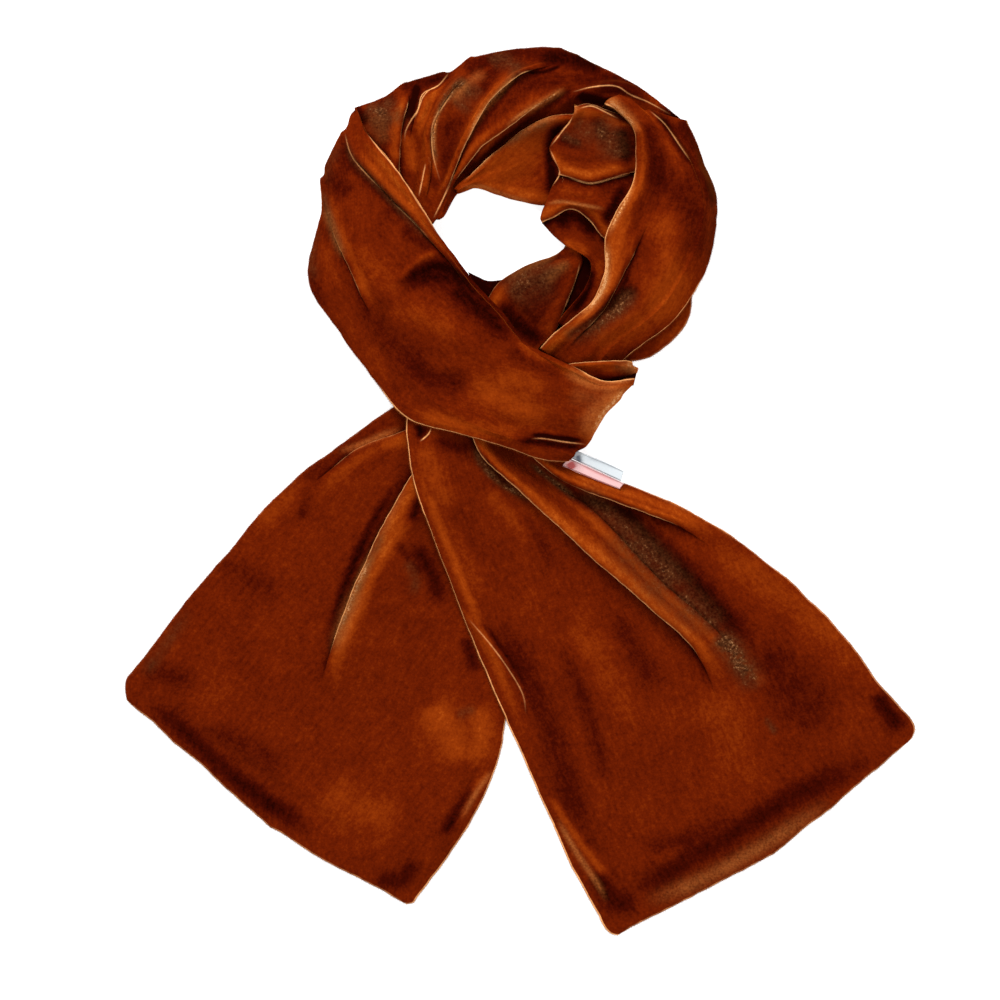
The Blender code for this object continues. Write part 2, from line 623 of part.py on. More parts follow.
def lay(name, stretch, laid, material, cloth=CLOTH):
    """Make a stretch, settle it on what is laid, and add it to that."""
    stretch = full_size(stretch)
    grid = surface_grid(stretch)
    settle(grid, stretch, laid, cloth)
    lower = clear_underside(grid, stretch, laid, cloth)
    thing = add_object(name, loft_mesh(name, grid, lower), material)
    laid.append(search_tree(thing))
    return thing


def room_under(trees, x, y, reach):
    """The lowest point, over and round a place on the table top, of what covers it."""
    lowest = SKY
    probes = [(0.0, 0.0)]
    if reach:
        turns = [math.tau * k / CORE_DIRECTIONS for k in range(CORE_DIRECTIONS)]
        probes += [(reach * math.cos(turn), reach * math.sin(turn)) for turn in turns]
    for dx, dy in probes:
        for tree in trees:
            hit = tree.ray_cast(Vector((x + dx, y + dy, -1.0)), UP)[0]
            if hit is not None:
                lowest = min(lowest, hit.z)
    return lowest


def fitted_reach(covers, middle, outward, half_width):
    """How far the core goes to one side of its middle line before what covers it comes down."""
    reach = half_width
    needed = CORE_THINNEST + CORE_GAP
    while reach > CORE_BACK_STEP and room_under(covers, *(middle + outward * reach), CORE_PROBE) < needed:
        reach -= CORE_BACK_STEP
    return reach


def core_ring(covers):
    """The hidden layers inside the ring: a rounded ring, flat below, fitted under all that covers it."""
    count = len(CORE_SECTIONS)
    looped = CORE_SECTIONS[-2:] + CORE_SECTIONS + CORE_SECTIONS[:3]
    rows = [(s.x, s.y, s.half_width, s.height) for s in looped]
    shares = spread([row[:2] for row in rows])
    rings = []
    for k in range(count * CORE_STEPS):
        low, high = shares[k // CORE_STEPS + 2], shares[k // CORE_STEPS + 3]
        at = low + (high - low) * (k % CORE_STEPS) / CORE_STEPS
        x, y, half_width, height = smooth_line(rows, shares, at)
        ahead = smooth_line(rows, shares, at + TANGENT_STEP)
        course = Vector((ahead[0] - x, ahead[1] - y)).normalized()
        outward = Vector((-course.y, course.x))
        middle = Vector((x, y))
        outer = fitted_reach(covers, middle, outward, half_width)
        inner = fitted_reach(covers, middle, -outward, half_width)
        ring = []
        for across, up in CORE_PROFILE:
            place = middle + outward * across * (outer if across > 0 else inner)
            ring.append(Vector((place.x, place.y, up * height)))
        rings.append(ring)
    press_flat(rings, covers)
    return rings


def press_flat(rings, covers):
    """Lower a ring's points until they and the cells round them are clear of what covers them."""
    count, size = len(rings), len(CORE_PROFILE)
    rooms = [[SKY] * size for _ in rings]
    for i in range(count):
        ahead = (i + 1) % count
        for j in range(size - 1):
            places = ((i, j), (i, j + 1), (ahead, j), (ahead, j + 1))
            points = cell_points([rings[a][b] for a, b in places])
            room = min(room_under(covers, p.x, p.y, 0.0) for p in points)
            for a, b in places:
                rooms[a][b] = min(rooms[a][b], room)
    for i in range(count):
        for j, (_, up) in enumerate(CORE_PROFILE):
            rings[i][j].z = min(rings[i][j].z, (rooms[i][j] - CORE_GAP) * min(1.0, LOW_SHARE + up))


def core_mesh(name, rings):
    size = len(rings[0])
    points = [tuple((p - MIDDLE) * MM) for ring in rings for p in ring]
    faces = []
    for i in range(len(rings)):
        ahead = (i + 1) % len(rings)
        for j in range(size):
            side = (j + 1) % size
            corners = (i * size + j, ahead * size + j, ahead * size + side, i * size + side)
            faces.extend(cell_triangles(*corners, points))
    return closed_mesh(name, points, faces)


def clear_scene():
    for thing in list(bpy.data.objects):
        bpy.data.objects.remove(thing)


def main():
    clear_scene()
    bpy.context.scene.collection.children.link(bpy.data.collections.new(COLLECTION))
    velvet = cloth_material("velvet", VELVET, VELVET_ROUGHNESS)
    white_satin = cloth_material("white_satin", LABEL_WHITE, LABEL_ROUGHNESS)
    pink_satin = cloth_material("pink_satin", LABEL_PINK, LABEL_ROUGHNESS)
    laid = []
    for name, stretch in VELVET_STRETCHES[:2]:
        lay(name, stretch, laid, velvet)
    lay("label_pink", LABEL_PINK_TAB, laid, pink_satin, LABEL_CLOTH)
    lay("label_white", LABEL_WHITE_TAB, laid, white_satin, LABEL_CLOTH)
    for name, stretch in VELVET_STRETCHES[2:]:
        lay(name, stretch, laid, velvet)
    add_object("core", core_mesh("core", core_ring(laid)), velvet)


main()
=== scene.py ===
# %% [markdown]
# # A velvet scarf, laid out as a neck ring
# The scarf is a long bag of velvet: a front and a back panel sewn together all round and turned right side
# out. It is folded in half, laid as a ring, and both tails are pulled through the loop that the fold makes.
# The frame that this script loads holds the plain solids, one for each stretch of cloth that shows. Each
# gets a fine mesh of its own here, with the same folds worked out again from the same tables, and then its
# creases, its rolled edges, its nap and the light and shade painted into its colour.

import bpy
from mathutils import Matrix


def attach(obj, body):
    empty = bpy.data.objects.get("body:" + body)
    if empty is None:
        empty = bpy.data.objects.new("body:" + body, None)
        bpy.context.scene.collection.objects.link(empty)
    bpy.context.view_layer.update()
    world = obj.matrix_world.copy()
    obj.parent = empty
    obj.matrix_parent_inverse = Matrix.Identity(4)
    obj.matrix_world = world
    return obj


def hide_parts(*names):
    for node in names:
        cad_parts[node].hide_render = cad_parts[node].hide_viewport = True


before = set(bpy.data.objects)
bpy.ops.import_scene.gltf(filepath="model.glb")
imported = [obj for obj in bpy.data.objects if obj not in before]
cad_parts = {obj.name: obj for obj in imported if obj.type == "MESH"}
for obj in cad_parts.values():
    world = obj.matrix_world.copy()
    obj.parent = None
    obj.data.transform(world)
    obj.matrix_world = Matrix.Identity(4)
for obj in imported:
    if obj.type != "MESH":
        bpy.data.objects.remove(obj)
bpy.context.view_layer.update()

# %% Modules
import math
from collections import namedtuple
from functools import partial

import bmesh
import bpy
import numpy as np
from mathutils import Vector, noise
from mathutils.kdtree import KDTree

BODY = "root"

# %% [markdown]
# ## Sizes
# Everything about the cloth is in millimetres here, as a maker would write it, and turns into metres only
# when a mesh is made. The values down to MIDDLE are those of the solids, so that each fine mesh finds its
# place on its solid without any fitting. Lines over the table top are read from the photograph, in
# its pixels, and the scarf's real width turns them into millimetres.

# %% Sizes of the cloth and its folds
MM = 0.001
TAIL_WIDTH = 235.3          # across the right tail's hem
TAIL_WIDTH_PIXELS = 362     # the same hem in the photograph
PIXEL = TAIL_WIDTH / TAIL_WIDTH_PIXELS
START_PIXEL = (519, 491)    # the place on the right tail's long fold from which places are counted
CLOTH = 3.0             # both panels of the turned bag, pile included
LABEL_CLOTH = 1.2       # a folded satin tab
SHOULDER = 3.2          # from a fold's edge back to its crest
SHOULDER_SHARE = 0.4    # a fold's shoulder takes no more than this of the way to the next row
LIP_SHARE = 0.5         # the cloth goes back under a fold's edge by no more than this share of its shoulder
SPLAY_SHARE = 0.25      # where a fold has died away, its foot stands this share of its shoulder ahead of it
ROLL = 2.0              # how far the cloth has turned down at the fold's edge
FADE = 0.14             # share of a stretch over which a fold rises or dies away
END_RUN = 0.08          # a fold's edge doesn't hang over within this share of a stretch's ends
TURN_RUN = 9.0          # over this length a stretch's end rolls down
TURN_SHARES = (0.0, 0.12, 0.4)  # shares of that length at which the solids are cut
LOWEST_TOP = CLOTH      # the cloth's top where it lies on the table top
TANGENT_STEP = 0.01     # a course's direction is read over this share to either side
MIDDLE = np.array((0.5, 0.3, 0.0))   # the middle of the laid scarf, which is the frame's own origin

# %% [markdown]
# ## The tables
# A stretch is a table of folds, and a row is one edge, ridge or trough of the cloth with the line that it
# follows over the table top. *lie* is the height of the cloth's top, evenly spaced from the start of the
# stretch to its end, and *rise* how far the fold stands above that. *lip* is how far the cloth goes back
# under the fold's edge, positive where that edge faces the next row and negative where it faces the row
# before. The fold stands from the share *since* of the stretch to the share *until*. Of the whole stretch,
# *along* says into how many even runs its solid is cut, *between* how many columns the solid has between
# two rows, and *start_turn* and *end_turn* how far the cloth rolls down at its ends.

# %% Kinds of row
Fold = namedtuple("Fold", "name lie rise lip since until course")
Stretch = namedtuple("Stretch", "along between start_turn end_turn folds")

# %% The left tail, which lies lowest
TAIL_LEFT = Stretch(18, 2, 0, 0, (
    Fold("outer_edge", (9, 3, 3, 3, 3), 0, 0, 0, 1,
         ((432, 392), (396, 406), (344, 442), (293, 483), (223, 559), (165, 645), (128, 700))),
    Fold("turned_side", (14, 6, 3, 3, 3), 4, -1.2, -1, 0.40,
         ((442, 404), (406, 430), (356, 450), (304, 494), (237, 569), (182, 649), (150, 719))),
    Fold("long_fold", (14, 8, 4, 3, 3), 8, -1.6, 0, 0.68,
         ((452, 418), (411, 476), (375, 542), (347, 604), (327, 666), (304, 745), (274, 823))),
    Fold("inner_panel", (12, 6, 3, 3, 3), 0, 0, 0, 1,
         ((462, 424), (448, 520), (427, 640), (390, 752), (341, 863))),
    Fold("curled_side", (10, 5, 3, 3, 3), 4, 0, 0.70, 0.98,
         ((474, 430), (497, 540), (501, 660), (493, 752), (471, 799), (439, 842), (390, 894))),
    Fold("inner_edge", (6, 4, 3, 3, 3), 0, 0, 0, 1,
         ((484, 434), (512, 540), (514, 660), (505, 724), (496, 768), (471, 820), (437, 865), (411, 905))),
))

# %% The right tail, which lies on the left one
TAIL_RIGHT = Stretch(18, 2, 0, 0, (
    Fold("inner_edge", (10, 8, 3, 3, 3), 0, 0, 0, 1,
         ((420, 388), (407, 420), (411, 469), (432, 533), (481, 660), (530, 772), (575, 870), (613, 934))),
    Fold("side_fold", (14, 8, 3, 3, 3), 2, 0, 0.25, 0.60,
         ((432, 396), (421, 440), (436, 510), (471, 612), (507, 672), (525, 716), (580, 820), (645, 923))),
    Fold("flat_panel", (14, 6, 3, 3, 3), 0, 0, 0, 1,
         ((448, 404), (460, 469), (524, 580), (596, 709), (654, 820), (698, 895))),
    Fold("long_fold", (15, 8, 4, 3, 3), 11, -1.6, -1, 0.62,
         ((466, 412), (475, 442), (485, 460), (519, 491), (593, 558), (652, 610), (697, 656), (739, 760),
          (770, 856))),
    Fold("crushed_fold", (10, 4, 3, 3, 3), 5, 1.2, 0.12, 0.70,
         ((496, 422), (530, 466), (590, 508), (660, 580), (720, 636), (757, 682), (796, 745), (830, 809))),
    Fold("short_fold", (14, 7, 3, 3, 3), 8, -1.4, -1, 0.46,
         ((524, 432), (534, 460), (575, 486), (645, 512), (690, 532), (762, 595), (822, 679), (873, 772))),
    Fold("outer_edge", (8, 4, 3, 3, 3), 0, 0, 0, 1,
         ((560, 440), (572, 470), (624, 484), (698, 516), (786, 579), (846, 640), (887, 698), (912, 728))),
))

# %% The band that the tails are pulled through
FRONT_BAND = Stretch(17, 2, 12, 8, (
    Fold("outer_edge", (6, 4, 4, 10, 20), 0, 0, 0, 1,
         ((320, 189), (322, 209), (314, 236), (308, 265), (313, 292), (337, 328), (370, 372), (407, 417),
          (455, 433), (502, 446), (541, 460), (573, 463))),
    Fold("side_fold", (12, 20, 18, 18, 25), 4, -1.2, 0.02, 0.42,
         ((324, 179), (328, 205), (333, 229), (344, 256), (365, 303), (397, 362), (445, 408), (491, 431),
          (537, 445), (580, 456))),
    Fold("lip_trough", (16, 28, 27, 23, 27), -6, 0, 0.74, 2,
         ((328, 168), (339, 199), (350, 229), (362, 257), (384, 300), (417, 345), (454, 388), (493, 417),
          (527, 434), (544, 437), (564, 442), (588, 446))),
    Fold("body", (18, 31, 34, 33, 30), 0, 0, 0, 1,
         ((333, 157), (348, 189), (364, 217), (390, 260), (421, 306), (461, 346), (508, 382), (557, 412),
          (600, 432))),
    Fold("dented_body", (19, 32, 37, 37, 34), -4, 0, 0.30, 0.62,
         ((339, 145), (354, 174), (379, 203), (413, 245), (448, 288), (488, 329), (539, 371), (584, 399),
          (614, 414))),
    Fold("crushed_fold", (19, 31, 36, 36, 34), 4, -1.0, 0.02, 0.58,
         ((345, 133), (353, 156), (368, 176), (397, 206), (430, 240), (462, 280), (496, 320), (534, 357),
          (582, 386), (625, 399))),
    Fold("inner_edge", (12, 15, 18, 22, 22), 9, 1.4, 0.02, 2,
         ((359, 109), (366, 134), (390, 162), (420, 206), (447, 247), (478, 287), (507, 318), (528, 345),
          (568, 365), (604, 382), (634, 380))),
))

# %% The top of the ring, gathered towards the band
RING_TOP = Stretch(14, 1, 0, 0, (
    Fold("hidden_side", (14, 14, 14, 12, 6), 0, 0, 0, 1,
         ((384, 226), (377, 189), (367, 159), (360, 129), (360, 106))),
    Fold("left_panel", (16, 19, 21, 18, 6), 0, 0, 0, 1,
         ((391, 226), (388, 185), (379, 152), (371, 129), (374, 112), (379, 99))),
    Fold("first_fold", (17, 20, 23, 20, 6), 5, 1.2, 0.12, 0.96,
         ((399, 228), (400, 179), (400, 156), (404, 126), (408, 106), (402, 85))),
    Fold("second_fold", (17, 19, 20, 18, 6), 5, -1.2, 0.12, 0.96,
         ((405, 228), (410, 186), (410, 156), (413, 131), (417, 112), (424, 96), (437, 85), (444, 72))),
    Fold("small_fold", (18, 21, 24, 22, 6), 2, 0, 0.05, 0.45,
         ((411, 228), (417, 196), (421, 174), (421, 149), (425, 122), (436, 100), (451, 85), (459, 72))),
    Fold("crushed_ridge", (18, 23, 27, 25, 6), 3, 1.0, 0.10, 0.90,
         ((417, 228), (430, 189), (431, 165), (431, 142), (436, 122), (448, 100), (465, 80), (480, 57))),
    Fold("panel", (19, 24, 29, 27, 6), 0, 0, 0, 1,
         ((425, 226), (441, 186), (453, 149), (467, 119), (484, 89), (504, 66), (520, 48))),
    Fold("long_fold", (20, 25, 30, 28, 6), 7, 1.4, 0.10, 0.92,
         ((433, 225), (450, 188), (464, 151), (487, 108), (505, 89), (521, 77), (537, 71), (553, 65),
          (564, 49))),
    Fold("inner_fold", (20, 24, 28, 26, 6), 7, 1.4, 0.10, 0.80,
         ((441, 222), (456, 186), (479, 152), (499, 137), (531, 112), (553, 96), (565, 82), (574, 69),
          (582, 57))),
    Fold("upper_panel", (19, 15, 14, 20, 6), 0, 0, 0, 1,
         ((448, 219), (464, 185), (487, 159), (514, 136), (547, 112), (571, 94), (590, 82), (611, 72))),
    Fold("thin_fold", (17, 10, 10, 18, 6), 4, 0, 0.45, 0.98,
         ((456, 214), (471, 186), (494, 165), (528, 137), (562, 109), (588, 92), (611, 86), (630, 86),
          (647, 92))),
    Fold("hidden_end", (14, 6, 5, 6, 5), 0, 0, 0, 1,
         ((464, 208), (480, 189), (507, 174), (544, 149), (584, 128), (622, 119), (657, 122), (685, 123))),
))

# %% The panel between the top of the ring and the hole
RING_INNER = Stretch(10, 2, 0, 0, (
    Fold("upper_edge", (8, 9, 10, 11, 12), 4, -1.2, 0.05, 2,
         ((456, 191), (482, 165), (500, 150), (517, 132), (557, 113), (596, 104))),
    Fold("panel", (9, 10, 11, 11, 11), 0, 0, 0, 1,
         ((457, 192), (484, 177), (516, 164), (552, 148), (594, 132))),
    Fold("hole_edge", (4, 4, 4, 4, 4), 4, 1.2, 0.05, 2,
         ((459, 194), (478, 189), (502, 196), (527, 204), (545, 205), (568, 199))),
))

# %% The crumpled stretch inside the ring
RING_CRUMPLE = Stretch(6, 1, 6, 0, (
    Fold("top_edge", (12, 16, 16, 12), 4, -1.2, -1, 2,
         ((572, 106), (588, 108), (612, 114), (644, 124))),
    Fold("brow", (18, 24, 24, 18), 0, 0, 0, 1,
         ((570, 124), (590, 122), (618, 126), (650, 134))),
    Fold("cheek", (18, 26, 26, 18), 0, 0, 0, 1,
         ((550, 150), (575, 148), (610, 150), (652, 154))),
    Fold("upper_fold", (14, 19, 19, 14), 5, 1.2, -1, 1,
         ((558, 176), (572, 180), (591, 185), (615, 179), (652, 170))),
    Fold("waist", (12, 21, 21, 16), 0, 0, 0, 1,
         ((550, 191), (570, 194), (600, 196), (650, 190))),
    Fold("seam_ridge", (12, 22, 22, 16), 2, 0, -1, 2,
         ((543, 208), (563, 205), (590, 210), (645, 212))),
    Fold("lower_fold", (10, 14, 14, 14), 6, 1.2, -1, 0.9,
         ((546, 224), (556, 218), (572, 211), (587, 220), (602, 238), (632, 252))),
    Fold("neck", (6, 12, 12, 12), 0, 0, 0, 1,
         ((562, 243), (576, 242), (594, 252), (622, 268))),
    Fold("tongue", (10, 12, 12, 12), 0, 0, 0, 1,
         ((588, 262), (598, 268), (624, 284))),
    Fold("tongue_low", (10, 12, 12, 12), 0, 0, 0, 1,
         ((588, 280), (598, 290), (616, 304))),
    Fold("tongue_tip", (8, 10, 10, 10), 0, 0, 0, 1,
         ((558, 324), (566, 330), (584, 344))),
))

# %% The low panel at the hole's lower right
RING_UNDER = Stretch(8, 2, 0, 0, (
    Fold("hole_edge", (4, 4, 4, 5, 5), 4, -1.2, -1, 2,
         ((566, 246), (541, 260), (523, 270), (500, 283), (486, 300), (480, 316))),
    Fold("panel", (8, 8, 8, 8, 8), 3, 0, 0.1, 0.8,
         ((574, 248), (562, 266), (540, 288), (516, 318), (506, 340))),
    Fold("free_edge", (6, 6, 6, 6, 6), 3, 1.0, -1, 2,
         ((582, 252), (587, 266), (578, 289), (567, 312), (553, 342), (546, 360))),
))

# %% The wide stretch down the right of the ring
RING_LOBE = Stretch(18, 1, 10, 0, (
    Fold("inner_edge", (14, 15, 17, 15, 8), 10, -1.4, -1, 2,
         ((604, 106), (614, 112), (633, 134), (634, 160), (630, 190), (615, 215), (603, 240), (603, 275),
          (590, 303), (570, 322), (556, 332), (541, 349))),
    Fold("crushed_ridge", (25, 29, 31, 29, 16), 2, 0, 0.1, 2,
         ((610, 100), (624, 114), (642, 136), (644, 164), (639, 194), (624, 222), (613, 248), (610, 276),
          (598, 303), (578, 325), (564, 337), (548, 356))),
    Fold("rolled_fold", (24, 29, 32, 29, 16), 4, 1.0, 0.45, 0.98,
         ((618, 97), (638, 116), (656, 143), (659, 180), (648, 220), (631, 259), (613, 295), (590, 326),
          (574, 340), (559, 360))),
    Fold("body", (20, 30, 34, 31, 18), 0, 0, 0, 1,
         ((631, 102), (651, 125), (674, 159), (684, 200), (674, 246), (651, 289), (624, 322), (596, 343),
          (574, 366))),
    Fold("ridge", (18, 26, 28, 26, 16), 3, 1.0, -1, 0.40,
         ((648, 111), (664, 126), (678, 143), (693, 171), (702, 200), (696, 245), (674, 288), (645, 320),
          (610, 348), (588, 372))),
    Fold("outer_turn", (12, 19, 21, 20, 12), 0, 0, 0, 1,
         ((670, 117), (682, 134), (694, 159), (705, 183), (708, 217), (700, 254), (682, 289), (657, 319),
          (621, 349), (599, 376))),
    Fold("outer_edge", (5, 4, 4, 4, 5), 0, 0, 0, 1,
         ((687, 122), (694, 139), (704, 162), (714, 188), (717, 217), (710, 258), (694, 292), (673, 322),
          (641, 346), (625, 359), (608, 380))),
))

# %% The sliver outside the lobe
RING_LOWER = Stretch(8, 1, 0, 0, (
    Fold("outer_edge", (3, 3, 3, 3, 3), 0, 0, 0, 1,
         ((693, 292), (692, 312), (682, 330), (662, 348), (642, 359), (620, 362))),
    Fold("hidden_side", (5, 5, 5, 5, 5), 0, 0, 0, 1,
         ((674, 296), (670, 316), (657, 331), (642, 342), (617, 346))),
))

# %% The roll where the band turns back
LOOP_RETURN = Stretch(8, 2, 0, 8, (
    Fold("upper_edge", (16, 17, 18, 19, 18), 5, -1.0, -1, 2,
         ((565, 365), (587, 362), (610, 360), (631, 362))),
    Fold("middle", (19, 20, 22, 24, 22), 0, 0, 0, 1,
         ((565, 371), (588, 371), (611, 370), (636, 370))),
    Fold("lower_edge", (18, 19, 20, 20, 18), 0, 0, 0, 1,
         ((565, 377), (588, 379), (611, 380), (634, 377))),
))

# %% The two blank label tabs
LABEL_PINK_TAB = Stretch(6, 1, 0, 0, (
    Fold("lower_side", (11, 12, 12), 0, 0, 0, 1, ((570, 471), (594, 480), (619, 490))),
    Fold("upper_side", (12, 13, 13), 0, 0, 0, 1, ((576, 462), (600, 473), (625, 484))),
))

LABEL_WHITE_TAB = Stretch(6, 1, 0, 0, (
    Fold("lower_side", (12, 14, 14), 0, 0, 0, 1, ((578, 460), (600, 471), (621, 479))),
    Fold("upper_side", (14, 16, 15), 0, 0, 0, 1, ((579, 454), (604, 462), (623, 471))),
))

# %% [markdown]
# ## From a table to a wall
# A smooth curve runs through the rows of a table wherever the stretch is cut across. numpy works out all
# the cuts of a stretch at once, so a mesh with tens of thousands of points takes a moment. The curve is
# the one that the solids use, only read at many more places.

# %% Smooth lines
SHORTEST_STEP = 1e-6    # two points on one place count as this far apart
SHORTEST_VECTOR = 1e-9

def reach(points):
    """Shares from 0 to 1 at which a line, or each of many lines, gets to its points."""
    steps = np.maximum(np.linalg.norm(np.diff(points, axis=-2), axis=-1), SHORTEST_STEP)
    total = np.concatenate([np.zeros(steps.shape[:-1] + (1,)), np.cumsum(steps, axis=-1)], axis=-1)
    return total / total[..., -1:]

def hermite(start, start_slope, end, end_slope, run, part):
    """A point between two points of a smooth curve."""
    return ((2*part**3 - 3*part**2 + 1) * start + (part**3 - 2*part**2 + part) * run * start_slope
            + (3*part**2 - 2*part**3) * end + (part**3 - part**2) * run * end_slope)

def smooth_line(points, shares, at):
    """Points of the smooth curve through some points, at an array of shares."""
    points = np.asarray(points, float).reshape(len(points), -1)
    k = np.arange(len(points))
    low, high = np.maximum(k - 1, 0), np.minimum(k + 1, len(points) - 1)
    slopes = (points[high] - points[low]) / (shares[high] - shares[low])[:, None]
    i = np.searchsorted(shares[1:-1], at)
    run = (shares[i + 1] - shares[i])[:, None]
    part = (at - shares[i])[:, None] / run
    return hermite(points[i], slopes[i], points[i + 1], slopes[i + 1], run, part)

def even_value(values, at):
    """Values of the smooth curve through values that are evenly spaced from 0 to 1."""
    return smooth_line(values, np.linspace(0, 1, len(values)), at)[:, 0]

def on_table(line):
    """A line read from the photograph, in millimetres on the table top."""
    line = np.array(line, float)
    return np.stack([line[:, 0] - START_PIXEL[0], START_PIXEL[1] - line[:, 1]], axis=1) * PIXEL

def full_size(stretch):
    """A stretch whose courses are whole millimetres on the table top, as those of its solid are."""
    return stretch._replace(folds=[fold._replace(course=np.round(on_table(fold.course)))
                                   for fold in stretch.folds])

def course_points(fold, at):
    return smooth_line(fold.course, reach(fold.course), np.clip(at, 0, 1))

def ease(low, high, at):
    """0 below low, 1 above high, and a soft rise between."""
    s = np.clip((at - low) / (high - low), 0, 1)
    return s * s * (3 - 2*s)

def unit(vectors):
    return vectors / np.maximum(np.linalg.norm(vectors, axis=-1, keepdims=True), SHORTEST_VECTOR)

# %% [markdown]
# A fold with a lip is three points of each cut: the crest, where the cloth starts to turn down, the edge
# that stands out furthest, and the foot, tucked back under that edge. That undercut is what makes a fold
# of thick cloth throw a dark line beside its bright one, so it is real here, and a painted shadow and a
# painted highlight are laid over it as well.

# %% Cuts across a stretch
def fold_strength(fold, at):
    """How much of a fold's rise stands at each share of the stretch."""
    return ease(fold.since, fold.since + FADE, at) * (1 - ease(fold.until - FADE, fold.until, at))

def turned_down(drop, distance):
    """How far the cloth has rolled down at a distance from the stretch's end."""
    part = 1 - np.clip(distance / TURN_RUN, 0, 1)
    return drop * (1 - np.sqrt(1 - part * part))

def line_length(line):
    return float(np.linalg.norm(np.diff(line, axis=0), axis=1).sum())

def course_length(stretch):
    return line_length(stretch.folds[len(stretch.folds) // 2].course)

def stations(stretch, along, turn_shares):
    """The shares of a stretch at which it gets a cut: even ones, and close ones where an end rolls."""
    run = TURN_RUN / course_length(stretch)
    low = run if stretch.start_turn else 0.0
    high = 1 - run if stretch.end_turn else 1.0
    shares = [low + (high - low) * step / along for step in range(along + 1)]
    if stretch.start_turn:
        shares = [run * part for part in turn_shares] + shares
    if stretch.end_turn:
        shares += [1 - run * part for part in reversed(turn_shares)]
    return np.array(shares)

def wall_knots(stretch, at):
    """The cloth's top at some shares of a stretch: for each share, the points that its rows give."""
    folds = stretch.folds
    length = course_length(stretch)
    rolled = turned_down(stretch.start_turn, at * length) + turned_down(stretch.end_turn, (1 - at) * length)
    places = [course_points(fold, at) for fold in folds]
    knots = []
    for i, fold in enumerate(folds):
        here = places[i]
        low, high = max(i - 1, 0), min(i + 1, len(folds) - 1)
        tangent = course_points(fold, at + TANGENT_STEP) - course_points(fold, at - TANGENT_STEP)
        section = unit(places[high] - places[low])
        square = unit(np.stack([-tangent[:, 1], tangent[:, 0]], axis=1))
        square[(square * section).sum(axis=1) < 0] *= -1
        across = unit(square + section)
        strength = fold_strength(fold, at) if fold.rise else np.zeros(len(at))
        lie = np.maximum(even_value(fold.lie, at) - rolled, LOWEST_TOP)
        top = lie + fold.rise * strength
        if not fold.lip:
            knots.append(np.column_stack([here, top]))
            continue
        side = math.copysign(1, fold.lip)
        room = np.min([np.linalg.norm(places[k] - here, axis=1) for k in (low, high) if k != i], axis=0)
        shoulder = np.minimum(SHOULDER, room * SHOULDER_SHARE)
        strong = strength * ease(0, END_RUN, at) * (1 - ease(1 - END_RUN, 1, at))
        lip = np.minimum(abs(fold.lip), shoulder * LIP_SHARE) * strong - shoulder * SPLAY_SHARE * (1 - strong)
        crest = here - across * side * shoulder[:, None]
        foot = here - across * side * lip[:, None]
        three = [np.column_stack([crest, top]), np.column_stack([here, top - ROLL * strength]),
                 np.column_stack([foot, lie])]
        knots.extend(three if side > 0 else reversed(three))
    return np.stack(knots, axis=1)

# %% Columns between the cuts' points
LEAST_COLUMNS = 3       # between two points of a cut

def coarse_columns(stretch):
    """The columns of the solid's own grid, each as a point of the cut and a share of the way to the next."""
    columns, knot = [], -1
    for row, fold in enumerate(stretch.folds):
        own = 3 if fold.lip else 1
        columns += [(knot + k + 1, 0.0) for k in range(own)]
        knot += own
        if row < len(stretch.folds) - 1:
            columns += [(knot, step / (stretch.between + 1)) for step in range(1, stretch.between + 1)]
    return columns

def fine_columns(knots, spacing):
    """Columns that lie no further apart than the spacing anywhere along the stretch."""
    gaps = np.linalg.norm(np.diff(knots, axis=1), axis=2).max(axis=0)
    columns = []
    for k, gap in enumerate(gaps):
        count = max(LEAST_COLUMNS, math.ceil(gap / spacing))
        columns += [(k, step / count) for step in range(count)]
    return columns + [(len(gaps), 0.0)]

def fill_columns(knots, columns):
    """The grid of points that some columns give: one line of it for each cut."""
    last = knots.shape[1] - 1
    shares = reach(knots)
    k = np.arange(last + 1)
    low, high = np.maximum(k - 1, 0), np.minimum(k + 1, last)
    slopes = (knots[:, high] - knots[:, low]) / (shares[:, high] - shares[:, low])[..., None]
    i = np.array([min(knot, last - 1) for knot, _ in columns])
    part = np.array([part + (knot == last) for knot, part in columns])[None, :, None]
    run = (shares[:, i + 1] - shares[:, i])[..., None]
    return hermite(knots[:, i], slopes[:, i], knots[:, i + 1], slopes[:, i + 1], run, part)

# %% [markdown]
# ## How far each stretch was lifted
# The solids were laid on each other from the table top up, and each was lifted until it cleared what it
# crosses. The tables don't say by how much, but the frame does: every point of a solid's top stands
# straight above its place in the table. Reading that lift from the frame, and smoothing it between those
# points, seats the fine cloth exactly where the plain cloth lies.

# %% The lift, read from the frame
SAME_PLACE = 0.05       # a solid's point this close in plan is the table's own point
LIFT_SOFTNESS = 3       # rounds in which the lift is evened out

def soften(field, rounds):
    """Even a grid of values out with its neighbours, its edges included."""
    for _ in range(rounds):
        padded = np.pad(field, ((1, 1), (1, 1)) + ((0, 0),) * (field.ndim - 2), mode="edge")
        field = (padded[:-2, 1:-1] + padded[2:, 1:-1] + padded[1:-1, :-2] + padded[1:-1, 2:] + 4 * field) / 8
    return field

def plan_tree(node):
    """A search tree of a solid's points seen from above, and those points in the tables' millimetres."""
    points = np.array([vertex.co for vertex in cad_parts[node].data.vertices]) / MM + MIDDLE
    tree = KDTree(len(points))
    for k, (x, y, _) in enumerate(points):
        tree.insert((x, y, 0), k)
    tree.balance()
    return tree, points

